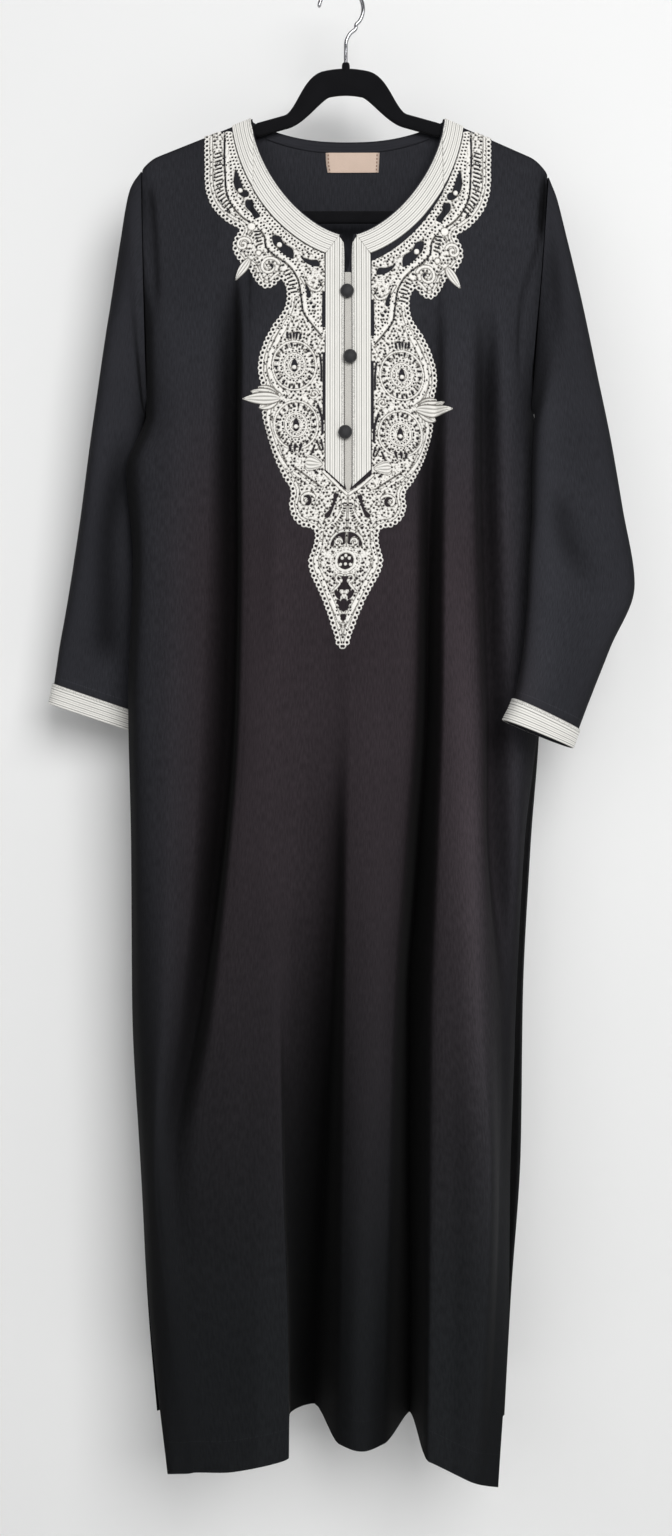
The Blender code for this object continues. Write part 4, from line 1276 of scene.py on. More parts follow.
    def build(self, finish: Material) -> Piece:
        """Makes the panel's piece, and keeps its two faces for what is laid on them.

        Args:
            finish: The crepe.

        Returns:
            The piece.
        """
        points, turned, cut = self.middle()
        across, drop = points[..., 0], points[..., 2]
        inward = np.minimum(np.arange(across.shape[1]), np.arange(across.shape[1])[::-1]) / self.still_columns
        edges = fade(np.abs(drop - drop[:1]), *self.still_drops) * np.clip(inward, 0, 1)
        moved = waves(across, drop, self.seed, self.sway) * edges
        for crease in self.creases:
            moved = moved + crease.press(across, drop)
        points = points + turned * moved[..., None]
        self.outer = points + turned * CLOTH / 2
        self.inner = points + turned * (CLOTH / 2 - SHOWN_CLOTH)
        name = self.face.name.lower()
        tag = Tag(f"{name}_crepe", name, "black_crepe")
        return wall_piece(tag, self.outer, self.inner, finish, {"cut": cut}, {"shadow": self.shadow()})


def rib_profile(across: Array, ribs: float) -> Array:
    """The height of a ribbed braid, from 0 to 1, at each place across it, counted in ribs.

    Args:
        across: The places, counted in ribs.
        ribs: How many ribs it has.

    Returns:
        The heights.
    """
    inside = np.abs(np.mod(across, 1.0) - 0.5) * 2
    rib = 0.80 + 0.20 * np.sqrt(np.clip(1 - inside**2, 0, 1))
    edge = np.clip(np.minimum(across, ribs - across) / 0.35, 0, 1)
    return rib * (0.45 + 0.55 * np.sqrt(edge))


@dataclass
class Sleeve:
    """A sleeve and the braid round its end."""

    side: Side
    rings: tuple[tuple[float, ...], ...]
    creases: tuple[Crease, ...]
    sides: int = 96
    count: int = 120
    cuff_ribs: int = 9
    cuff_thick: float = 1.7
    cuff_lift: float = 0.35
    girth: float = 0.42
    sway: float = 0.4
    facing: float = 2.2
    inner_shade: float = 0.45
    inner_light: float = 0.28
    crease_depth: float = 9.0
    crease_shade: float = 0.6

    def ring(self, shares: Array, shrink: Array | float) -> Array:
        """Rings of points round the sleeve.

        Args:
            shares: How far down the table of rings each lies, from 0 to 1.
            shrink: How far each is drawn in, in millimetres.

        Returns:
            The points, rings by sides by three.
        """
        at = np.asarray(shares) * (len(self.rings) - 1)
        table = np.array(self.rings, float)
        values = np.stack([smooth_through(range(len(table)), column, at) for column in table.T], axis=1)
        outer, inner, half_open = values[:, 0:3], values[:, 3:6], values[:, 6:7]
        middle, reach = (outer + inner) / 2, outer - inner
        length = np.linalg.norm(reach, axis=1, keepdims=True)
        reach /= length
        away = np.array([0.0, 1.0, 0.0]) - reach[:, 1:2] * reach
        away /= np.linalg.norm(away, axis=1, keepdims=True)
        turn = self.turn()
        c, s = (np.sign(f(turn)) * np.abs(f(turn)) ** (2 / ARMHOLE_ROUNDNESS) for f in (np.cos, np.sin))
        shrink = np.broadcast_to(np.asarray(shrink, float), at.shape)[:, None, None]
        lengthways = ((length / 2)[:, None, :] - shrink) * c[None, :, None]
        open_to = (half_open[:, None, :] - shrink) * s[None, :, None]
        return middle[:, None, :] + reach[:, None, :] * lengthways + away[:, None, :] * open_to

    def turn(self) -> Array:
        """The turn of each side, from the sleeve's outer edge."""
        return TURN * np.arange(self.sides) / self.sides

    def build(self, crepe: Material, braid: Material) -> tuple[Piece, Piece]:
        """Makes the sleeve and its cuff.

        Args:
            crepe: The sleeve's finish.
            braid: The cuff's finish.

        Returns:
            The two pieces.
        """
        cuff_top = (len(self.rings) - 2) / (len(self.rings) - 1)
        at_armhole, at_cuff = np.linspace(0, 0.02, 6)[:-1], [0.955, 1]
        shares = np.concatenate([at_armhole, np.linspace(0.02, cuff_top, self.count), at_cuff])
        points = self.ring(shares, 0.0)
        turned = normals_of(points, True)
        centre = points.mean(axis=1, keepdims=True)
        turned = turned * np.sign(np.sum((points - centre) * turned, axis=(1, 2), keepdims=True))
        across, drop = points[..., 0], points[..., 2]
        near_cuff = 1 - fade(shares, cuff_top - 0.06, cuff_top - 0.01)[:, None]
        from_armhole = fade(shares, 0.0, 0.06)[:, None]
        moved = waves(across, drop + 2 * points[..., 1], 21 + self.side.value, self.sway)
        moved = moved * near_cuff * from_armhole
        for creases, facing in ((self.creases, -self.facing), (self.creases[:1], self.facing)):
            for crease in creases:
                towards = np.clip(facing * turned[..., 1], 0, 1)
                moved = moved + crease.press(across, drop) * towards * near_cuff
        points = points + turned * moved[..., None]
        outer, inner = points + turned * CLOTH / 2, points + turned * (CLOTH / 2 - SHOWN_CLOTH)
        steps = np.linalg.norm(np.diff(centre[:, 0], axis=0), axis=1)
        length = np.concatenate([[0], np.cumsum(steps)])
        cut = grid_of(np.linspace(0, self.girth, self.sides), (length[-1] - length)[:, None] * 0.001)
        inward = -np.cos(self.turn())[None, :]
        # The left sleeve turns into the shade by the body, and the right one catches the key light there
        if self.side is Side.LEFT:
            shadow = self.inner_shade * fade(inward, 0.1, 0.95) * (1 - fade(shares, 0.25, 0.85))[:, None]
        else:
            shadow = -self.inner_light * fade(inward, -0.2, 0.8) * fade(shares, 0.06, 0.3)[:, None]
        shadow = 1 - (1 - shadow) * (1 - np.clip(-moved / self.crease_depth, 0, self.crease_shade))
        name = f"sleeve_{self.side.word}"
        tag = Tag(f"{name}_crepe", name, "black_crepe")
        sleeve = wall_piece(tag, outer, inner, crepe, {"cut": cut}, {"shadow": shadow}, True)
        return sleeve, self.cuff(cuff_top, braid)

    def cuff(self, cuff_top: float, braid: Material) -> Piece:
        """Makes the ribbed braid round the sleeve's end.

        Args:
            cuff_top: How far down the table of rings it starts.
            braid: Its finish.

        Returns:
            The piece.
        """
        across = np.linspace(0, self.cuff_ribs, self.cuff_ribs * 5 + 1)
        shares = cuff_top + (1 - cuff_top) * across / self.cuff_ribs
        low = CLOTH / 2 + self.cuff_lift
        outer = self.ring(shares, -(low + self.cuff_thick * rib_profile(across, self.cuff_ribs)))
        lay = grid_of(across[:, None], np.linspace(0, self.girth, self.sides)[None, :])
        name = f"cuff_{self.side.word}"
        tag = Tag(f"{name}_braid", name, "ivory_braid")
        return wall_piece(tag, outer, self.ring(shares, -low), braid, {"ribs": lay}, closed=True)


@dataclass
class BraidBand:
    """A stretch of ribbed braid, laid on the front."""

    side: Side
    cut: Cut
    ribs: int
    thick: float = 1.7
    lift: float = 0.35
    tops: tuple[Path, Path] = ((PLACKET_INNER, 9.2, PLACKET_OUTER), (278.5, 268.4, 288.6))
    mitre_out: float = 9.3
    mitre_slope: float = 1.46

    def line(self, share: float) -> Array:
        """One line along the band.

        Args:
            share: How far across the band it runs, from 0 to 1.

        Returns:
            Its places, from the top.
        """
        if self.cut is Cut.PLACKET:
            out = PLACKET_INNER + (PLACKET_OUTER - PLACKET_INNER) * share
            top = float(np.interp(out, *self.tops))
            feet = (PLACKET_POINT_DROP - 5.5, PLACKET_TAPER_DROP)
            foot = float(np.interp(out, (PLACKET_INNER, PLACKET_OUTER), feet))
            across = CENTRE + self.side.value * out
            return np.array([(across, top), (across, foot)])
        line = neck_curve(BRAID_INSET + BRAID_WIDTH * share, self.side, 800)
        out = np.abs(line[:, 0] - CENTRE)
        mitre = NECK_DROP + NECK_DEEP + BRAID_INSET + 0.2 + (out - self.mitre_out) * self.mitre_slope
        kept = (line[:, 1] >= shoulder_drop(line[:, 0]) + 0.9) & (line[:, 1] <= mitre + 900 * (out > 40))
        if share > 0.96:
            kept &= out >= PLACKET_OUTER - 0.2
        return line[kept]

    def build(self, ground: Ground, finish: Material) -> Piece:
        """Makes the band's piece.

        Args:
            ground: The face of the front.
            finish: The braid.

        Returns:
            The piece.
        """
        name, count = self.cut.value
        across = np.linspace(0, self.ribs, self.ribs * 5 + 1)
        places = np.array([evenly(self.line(share), count) for share in across / self.ribs])
        height = np.broadcast_to(self.thick * rib_profile(across, self.ribs)[:, None], places.shape[:2])
        outer, inner = ground.faces(places, self.lift, height)
        lay = grid_of(across[:, None], np.array([lengths(line) for line in places]) * 0.001)
        name = f"{name}_{self.side.word}"
        return wall_piece(Tag(f"{name}_braid", name, "ivory_braid"), outer, inner, finish, {"ribs": lay})


@dataclass
class FlatStrip:
    """A flat piece of cloth between two edges, laid on a panel."""

    tag: Tag
    left: tuple[Place, ...]
    right: tuple[Place, ...]
    thick: float
    lift: float
    shape: tuple[int, int]
    threads: float = 7.0

    def build(self, ground: Ground, finish: Material) -> Piece:
        """Makes the strip's piece.

        Args:
            ground: The face that it lies on.
            finish: Its material.

        Returns:
            The piece.
        """
        down, wide = self.shape
        edges = [along(edge, 0.5) for edge in (self.left, self.right)]
        left, right = (edge[np.linspace(0, len(edge) - 1, down).astype(int)] for edge in edges)
        share = np.linspace(0, 1, wide)
        places = left[:, None] + (right - left)[:, None] * share[None, :, None]
        rim = np.clip(np.minimum(share, 1 - share) / 0.06, 0.25, 1)
        outer, inner = ground.faces(places, self.lift, np.broadcast_to(self.thick * rim, self.shape))
        lay = grid_of(self.threads * share, (places[..., 1] - places[:1, :, 1]) * 0.001)
        return wall_piece(self.tag, outer, inner, finish, {"ribs": lay, "cut": lay})


@dataclass
class CoveredButton:
    """A ball button covered in cloth, seated on the placket."""

    name: str
    across: float
    drop: float
    radius: float = 7.0
    thick: float = 9.0
    lift: float = 2.2
    seated: float = 3.2
    flat_behind: float = 0.0030
    pleats: int = 17
    pleat_depth: float = 0.035

    def build(self, ground: Ground, finish: Material) -> Piece:
        """Makes the button from a sphere, flattened behind, with its cloth gathered at the rim.

        Args:
            ground: The face of the front.
            finish: Its cloth.

        Returns:
            The piece.
        """
        feet, normals = ground.touch(np.array([self.across]), np.array([self.drop]))
        seat = (feet + normals * self.lift)[0]
        centre = metres(np.array([self.across, seat[1] - self.seated, self.drop]))
        bpy.ops.object.select_all(action="DESELECT")
        bpy.ops.mesh.primitive_uv_sphere_add(
            segments=48, ring_count=24, radius=self.radius * 0.001, location=tuple(centre)
        )
        button = bpy.context.object
        bpy.ops.object.mode_set(mode="EDIT")
        bpy.ops.transform.rotate(value=math.pi / 2, orient_axis="X", center_override=tuple(centre))
        bpy.ops.transform.resize(value=(1, self.thick / (2 * self.radius), 1), center_override=tuple(centre))
        bpy.ops.object.mode_set(mode="OBJECT")
        bpy.ops.object.transform_apply(location=True, rotation=True, scale=True)
        for vertex in button.data.vertices:
            x, y, z = vertex.co - Vector(centre)
            behind = max(0.0, min(1.0, (y * 1000 + 0.5) / 3.0))
            pleat = 1 + behind * self.pleat_depth * math.sin(self.pleats * math.atan2(z, x))
            vertex.co = Vector(centre) + Vector((x * pleat, min(y, self.flat_behind), z * pleat))
        button.name = button.data.name = f"{self.name}_covered"
        button.data.materials.append(finish)
        button.data.shade_smooth()
        return Tag(button.name, self.name, "black_button_cloth").put_on(button)


@dataclass
class LacePattern:
    """Half of the lace as it lies flat: where it is, and how high it stands.

    Places are distances out from the centre line and drops. `solid` is the distance in from the nearest
    edge, below 0 outside the lace, and `rise` goes from 0, at the cloth, to 1, on top of a cord.
    """

    cell: float
    seed: int = 41
    knot_size: float = 0.58
    knot_stray: float = 0.16
    hole_pitch: float = 4.6
    hole_stray: float = 0.9
    hole_radius: float = 0.95
    hole_share: float = 0.9
    outside: float = -9.0
    far: float = 99.0
    step: float = 1.2

    def __post_init__(self) -> None:
        """Lays out the places, a cell apart, with a row of them where the pendant starts."""
        self.split = int((LACE_SPLIT_DROP - LACE_TOP_DROP) / self.cell)
        down = int((LACE_FOOT_DROP - LACE_SPLIT_DROP) / self.cell)
        drops = LACE_SPLIT_DROP + np.arange(-self.split, down + 1) * self.cell
        self.u, self.z = np.meshgrid(np.arange(int(LACE_HALF_WIDTH / self.cell)) * self.cell, drops)
        self.solid = np.full(self.u.shape, self.outside)
        self.rise = np.zeros(self.u.shape)
        self.dice = np.random.default_rng(self.seed)

    def near(self, path: Array, reach: float) -> tuple[Array, Array, Array]:
        """Measures every place from a path.

        Args:
            path: The path's points.
            reach: How far from the path it is measured.

        Returns:
            The distance, the length along the path and the side of it.
        """
        gap, length, side = np.full(self.u.shape, self.far), np.zeros(self.u.shape), np.ones(self.u.shape)
        points = np.asarray(path, float)
        steps = np.diff(points, axis=0)
        spans = np.maximum(np.hypot(*steps.T), 1e-6)
        starts = np.concatenate([[0], np.cumsum(spans)])
        for first in range(0, len(steps), 24):
            part = slice(first, min(first + 24, len(steps)))
            own = points[first : part.stop + 1] - (0, self.z[0, 0])
            low = np.maximum(0, ((own.min(axis=0) - reach) / self.cell).astype(int))
            high = np.maximum(0, ((own.max(axis=0) + reach) / self.cell).astype(int) + 2)
            window = (slice(low[1], high[1]), slice(low[0], high[0]))
            u, z = self.u[window], self.z[window]
            if not u.size:
                continue
            du, dz = u[..., None] - points[part, 0], z[..., None] - points[part, 1]
            dx, dy, span = steps[part, 0], steps[part, 1], spans[part]
            t = np.clip((du * dx + dz * dy) / span**2, 0, 1)
            gaps = np.hypot(du - t * dx, dz - t * dy)
            best = gaps.argmin(axis=-1)[..., None]
            here, reached, turned = (
                np.take_along_axis(values, best, -1)[..., 0]
                for values in (gaps, starts[part] + t * span, dx * dz - dy * du)
            )
            better = here < gap[window]
            for table, values in ((gap, here), (length, reached), (side, np.sign(turned))):
                table[window] = np.where(better, values, table[window])
        return gap, length, side

    def stamp(self, centres: Array, reach: float) -> tuple[tuple[Array, Array], Array]:
        """Finds the places close to any of some centres.

        Args:
            centres: The centres.
            reach: How close.

        Returns:
            Rows and columns, and distances, one for each place and centre.
        """
        centres = np.asarray(centres, float).reshape(-1, 2)
        column = np.rint(centres[:, 0] / self.cell).astype(int)
        row = np.rint((centres[:, 1] - self.z[0, 0]) / self.cell).astype(int)
        steps = np.arange(-int(reach / self.cell) - 1, int(reach / self.cell) + 2)
        down, over = (side.ravel() for side in np.meshgrid(steps, steps, indexing="ij"))
        rows, columns = (row[:, None] + down).ravel(), (column[:, None] + over).ravel()
        of = np.repeat(np.arange(len(centres)), len(down))
        inside = (rows >= 0) & (columns >= 0) & (rows < self.u.shape[0]) & (columns < self.u.shape[1])
        rows, columns, of = rows[inside], columns[inside], of[inside]
        gap = np.hypot(self.u[rows, columns] - centres[of, 0], self.z[rows, columns] - centres[of, 1])
        close = gap <= reach
        return (rows[close], columns[close]), gap[close]

    def within(self, loop: Array) -> Array:
        """Signed distance to a loop: above 0 inside it.

        Args:
            loop: The loop's corners.

        Returns:
            The distance of every place.
        """
        inside = np.zeros(self.u.shape, bool)
        for (x0, z0), (x1, z1) in zip(loop, np.roll(loop, -1, axis=0)):
            if z0 != z1:
                slant = x0 + (x1 - x0) * (self.z - z0) / (z1 - z0)
                inside ^= ((z0 > self.z) != (z1 > self.z)) & (self.u < slant)
        gap = np.minimum(self.near(np.concatenate([loop, loop[:1]]), 6.0)[0], -self.outside)
        return np.where(inside, gap, -gap)

    def lattice(self, pitch: float, loose: float) -> Array:
        """Places of a loose hexagonal lattice over the whole pattern.

        Args:
            pitch: How far apart they are.
            loose: How far they stray.

        Returns:
            The places.
        """
        down = np.arange(LACE_TOP_DROP - 2, LACE_FOOT_DROP + 4, pitch * 0.86)
        u, row = np.meshgrid(np.arange(0, LACE_HALF_WIDTH, pitch), down)
        u = u + (np.arange(len(row)) % 2)[:, None] * pitch / 2
        places = np.stack([u.ravel(), row.ravel()], axis=1)
        return places + self.dice.normal(0, loose, places.shape)

    def knots(self, pitch: float) -> None:
        """Fills the lace with small knots, and pricks needle holes between them.

        Args:
            pitch: How far apart the knots are.
        """
        self.rise[:] = 0.06
        size = pitch * self.knot_size
        places, gap = self.stamp(self.lattice(pitch, self.knot_stray * pitch), size)
        np.maximum.at(self.rise, places, 0.10 + 0.78 * np.sqrt(np.clip(1 - (gap / size) ** 2, 0, 1)))
        holes = self.lattice(self.hole_pitch, self.hole_stray)
        self.prick(holes[self.dice.random(len(holes)) < self.hole_share], self.hole_radius)

    def prick(self, centres: Array, radius: float) -> None:
        """Cuts small round holes.

        Args:
            centres: Their centres.
            radius: Their radius.
        """
        places, gap = self.stamp(centres, radius + 1.0)
        np.minimum.at(self.solid, places, gap - radius)
        np.minimum.at(self.rise, places, np.clip((gap - radius * 0.6) / 1.1, 0, 1))

    def cord(
        self, path: Path, width: float, ditch: float = 0.8, bridge: bool = True, twist: float = 0.0
    ) -> None:
        """Lays a raised cord with a low ditch along each side of it, dark with painted shade.

        Args:
            path: Its middle line.
            width: Its width.
            ditch: The width of the ditches.
            bridge: Whether it spans the holes that it crosses.
            twist: The pitch of its strands, 0 where it is smooth.
        """
        gap, length, side = self.near(along(path, self.step), width / 2 + ditch + 0.5)
        half = width / 2
        body = 0.6 + 0.4 * np.sqrt(np.clip(1 - (gap / half) ** 2, 0, 1))
        if twist:
            body = body - 0.17 * (1 + np.sin(TURN * (length + 0.8 * side * gap) / twist))
        shade = np.minimum(self.rise, 0.10 + 0.9 * fade(gap - half, 0.5 * ditch, ditch + 0.5))
        self.rise = np.where(gap < half, body, np.where(gap < half + ditch, shade, self.rise))
        if bridge:
            self.solid = np.where(gap < half + 0.5, np.maximum(self.solid, half - gap), self.solid)

    def ditch(self, path: Path, width: float) -> None:
        """Cuts a slit along a line.

        Args:
            path: The line.
            width: The slit's width.
        """
        gap = self.near(along(path, self.step), width / 2 + 1.2)[0]
        self.rise = np.minimum(self.rise, np.clip((gap - width * 0.35) / 0.8, 0, 1))
        self.solid = np.minimum(self.solid, gap - width / 2)

    def hole(self, *loop: Place) -> None:
        """Cuts a hole of free shape.

        Args:
            loop: The places round it, in order.
        """
        signed = -self.within(along([*loop, loop[0], loop[1]], 1.0))
        self.solid = np.minimum(self.solid, signed)
        low = np.minimum(self.rise, np.clip(0.35 + 0.6 * signed, 0, 1))
        self.rise = np.where(signed < 1.0, low, self.rise)

    def drop_hole(self, u: float, z: float, length: float, width: float) -> None:
        """Cuts a drop-shaped hole, pointed at its top.

        Args:
            u: Its middle's distance out.
            z: Its middle's drop.
            length: Its length.
            width: Its width.
        """
        turn = TURN * np.arange(1, 16) / 16
        down = -np.cos(turn) * length / 2
        out = np.sin(turn) * width / 2 * (0.45 + 0.55 * (down / length + 0.5) ** 0.7)
        self.hole((u, z - length / 2), *zip(u + out, z + down))

    def bead(self, u: float, z: float, radius: float) -> None:
        """Sews a round bead on.

        Args:
            u: Its distance out.
            z: Its drop.
            radius: Its radius.
        """
        places, gap = self.stamp(np.array([(u, z)]), radius + 0.8)
        np.maximum.at(self.solid, places, radius - gap)
        ball = 0.55 + 0.65 * np.sqrt(np.clip(1 - (gap / radius) ** 2, 0, 1))
        self.rise[places] = np.where(gap < radius, ball, np.minimum(self.rise[places], 0.1))

    def rings(self, path: Path, pitch: float, radius: float, hole: float) -> None:
        """Lays a row of small round loops along a path, each with a hole in it.

        Args:
            path: The line through their centres.
            pitch: How far apart they are.
            radius: Their outer radius.
            hole: The radius of their holes.
        """
        centres = along(path, pitch)
        centres = centres + self.dice.normal(0, 0.12, centres.shape)
        places, gap = self.stamp(centres, radius + 0.4)
        np.maximum.at(self.solid, places, radius - gap)
        from_middle = (gap - (radius + hole) / 2) / (radius - hole) * 1.7
        ring = 0.35 + 0.60 * np.sqrt(np.clip(1 - from_middle**2, 0, 1))
        self.rise[places] = np.where(gap < radius, 0.0, self.rise[places])
        np.maximum.at(self.rise, places, np.where(gap < radius, ring, 0.0))
        places, gap = self.stamp(centres, hole + 0.7)
        np.minimum.at(self.solid, places, gap - hole)

    def ladder(self, path: Path, width: float, pitch: float, slot: float, lean: float = 0.0) -> None:
        """Cuts a row of slots across a strip, and leaves bars between them.

        Args:
            path: The strip's middle line.
            width: How long the bars are.
            pitch: How far apart they are.
            slot: The width of a slot.
            lean: How much they slant.
        """
        gap, length, side = self.near(along(path, self.step), width / 2 + 2)
        away = np.abs(np.mod(length + lean * side * gap, pitch) - pitch / 2)
        inner = np.maximum(away - slot / 2, gap - width / 2)
        self.solid = np.minimum(self.solid, np.where(gap < width / 2 + 2, inner, self.far))
        self.rise = np.where(gap < width / 2 + 0.4, np.clip(0.25 + inner / 0.9, 0.05, 0.95), self.rise)

    def leaf(self, tip: Place, base: Place, width: float, ribs: int, swell: float) -> None:
        """Lays a ribbed leaf.

        Args:
            tip: Its pointed end.
            base: Where it grows from.
            width: Its greatest width.
            ribs: How many ribs run along it.
            swell: Where it is widest: under 0.7 near its tip, over it near its base.
        """
        (u1, z1), (u0, z0) = tip, base
        length = math.hypot(u1 - u0, z1 - z0)
        to_tip = ((self.u - u0) * (u1 - u0) + (self.z - z0) * (z1 - z0)) / length
        aside = ((self.z - z0) * (u1 - u0) - (self.u - u0) * (z1 - z0)) / length
        inside = (to_tip > 0) & (to_tip < length)
        half = width / 2 * np.sin(math.pi * np.clip(to_tip / length, 0, 1) ** swell) ** 0.75
        gap = np.where(inside, half - np.abs(aside), self.outside)
        rib = 0.5 + 0.5 * np.cos(TURN * ribs * aside / np.maximum(2 * half, 0.5))
        self.solid = np.maximum(self.solid, np.minimum(gap, 3))
        body = np.clip(0.08 + 0.7 * rib + 0.2 * np.minimum(gap, 1), 0, 1)
        self.rise = np.where(gap > 0, body, np.where(gap > -0.8, np.minimum(self.rise, 0.1), self.rise))

    def oval(self, centre: Place, half: Path, begin: float = 0.0, end: float = 360.0) -> Array:
        """Places round an oval, or a part of it.

        Args:
            centre: Its centre.
            half: Its half width and half height.
            begin: Where it starts, in degrees from the outward side, turning downwards.
            end: Where it ends.

        Returns:
            The places.
        """
        turn = np.radians(np.linspace(begin, end, 41))
        return np.stack([centre[0] + half[0] * np.cos(turn), centre[1] + half[1] * np.sin(turn)], axis=1)

    def rosette(self, centre: Place, half: Place) -> None:
        """Works a rosette: a window with a bead, and rings of dots, petals and cord round it.

        Args:
            centre: Its centre.
            half: Its half width and half height.
        """
        size = np.array(half)
        self.cord(self.oval(centre, 0.97 * size), 1.8, 0.6, twist=2.7)
        self.petals(centre, 0.71 * size, 0.92 * size, np.arange(21) * 17.1 + 4, 2.5)
        self.rings(self.oval(centre, 0.60 * size)[:-1], 3.6, 1.8, 0.95)
        self.cord(self.oval(centre, 0.475 * size), 1.6, 0.5, twist=2.5)
        self.rings(self.oval(centre, 0.375 * size)[:-1], 3.3, 1.6, 0.85)
        self.cord(self.oval(centre, 0.26 * size), 1.7, 0.4, twist=2.3)
        self.drop_hole(centre[0], centre[1] - 0.5, 13.5, 7.6)
        self.bead(centre[0], centre[1] + 1.5, 2.3)

    def petals(self, centre: Place, inner: Path, outer: Path, turns: Array, width: float) -> None:
        """Cuts drop-shaped holes that point at a centre, a little uneven.

        Args:
            centre: Where they point.
            inner: The half width and half height of the oval on which their points lie.
            outer: The same of the oval on which they end.
            turns: The turn of each, in degrees from the outward side.
            width: Their greatest width.
        """
        around = np.linspace(0, TURN, 13)[:-1]
        share = 0.5 - 0.5 * np.cos(around)
        swell = np.sin(around) * (0.35 + 0.65 * share)
        for turn in np.radians(turns + self.dice.normal(0, 1.5, len(turns))):
            aim = np.array([math.cos(turn), math.sin(turn)])
            near = centre + aim * inner
            far = centre + aim * outer * self.dice.uniform(0.96, 1.03)
            aside = np.array([-aim[1], aim[0]]) * width / 2
            self.hole(*(tuple(near + (far - near) * a + aside * b) for a, b in zip(share, swell)))

    def scroll(self, centre: Place, radius: float, begin: float, turns: float, width: float) -> None:
        """Lays a cord that curls in to a centre.

        Args:
            centre: The centre.
            radius: Its outer radius.
            begin: Where it starts, in degrees.
            turns: How many turns it makes.
            width: The cord's width.
        """
        t = np.linspace(0, 1, 60)
        turn = math.radians(begin) + TURN * turns * t
        reach = radius * (1 - 0.85 * t)
        path = np.stack([centre[0] + reach * np.cos(turn), centre[1] + reach * np.sin(turn)], axis=1)
        self.cord(path, width, 0.9)


# Free edge of half the lace, without its leaves, from the shoulder to the tip of the pendant
LACE_EDGE = (
    (148, 157), (147, 190), (146, 213), (140, 232), (130, 246), (119, 255), (110, 261), (114, 268),
    (117, 277), (115, 287), (107, 297), (100, 303), (96, 311), (90, 320), (82, 324), (74, 320), (68, 314),
    (63, 322), (62, 336), (65, 348), (75, 362), (85, 381), (90, 400), (90, 412), (87, 424), (84, 433),
    (85, 444), (86, 455), (82, 471), (76, 492), (66, 516), (57, 532), (58.5, 546), (55, 558), (46, 567),
    (33, 571), (32, 584), (37, 602), (35, 613), (26, 631), (15, 657), (8, 678), (4, 689), (-3, 692),
)
# Its edge beside the placket
LACE_INNER_EDGE = ((24, 287.5), (23.6, 300), (23.6, 480), (23.6, 511), (14.3, 519.8), (4, 529.6), (-3, 531))
# The line that runs through the lace from the shoulder to beside the placket
VINE = (
    (127, 150), (127, 187), (126, 202), (124.7, 219), (120.3, 232), (111.6, 244), (99.7, 253.5),
    (90.4, 260.5), (85.5, 268), (83.3, 280), (76, 288), (65, 296), (57, 304), (51, 315), (47.5, 334),
    (45, 350), (36, 363), (27, 374),
)
WINDOW = (0, 602.5)


def beside(path: Path, by: float) -> Array:
    """A line that runs beside a path, at a distance to its left as it goes.

    Args:
        path: The path.
        by: The distance.

    Returns:
        The line's places.
    """
    points = along(path, 1.5)
    step = np.gradient(points, axis=0)
    step /= np.linalg.norm(step, axis=1, keepdims=True)
    return points + by * np.stack([-step[:, 1], step[:, 0]], axis=1)


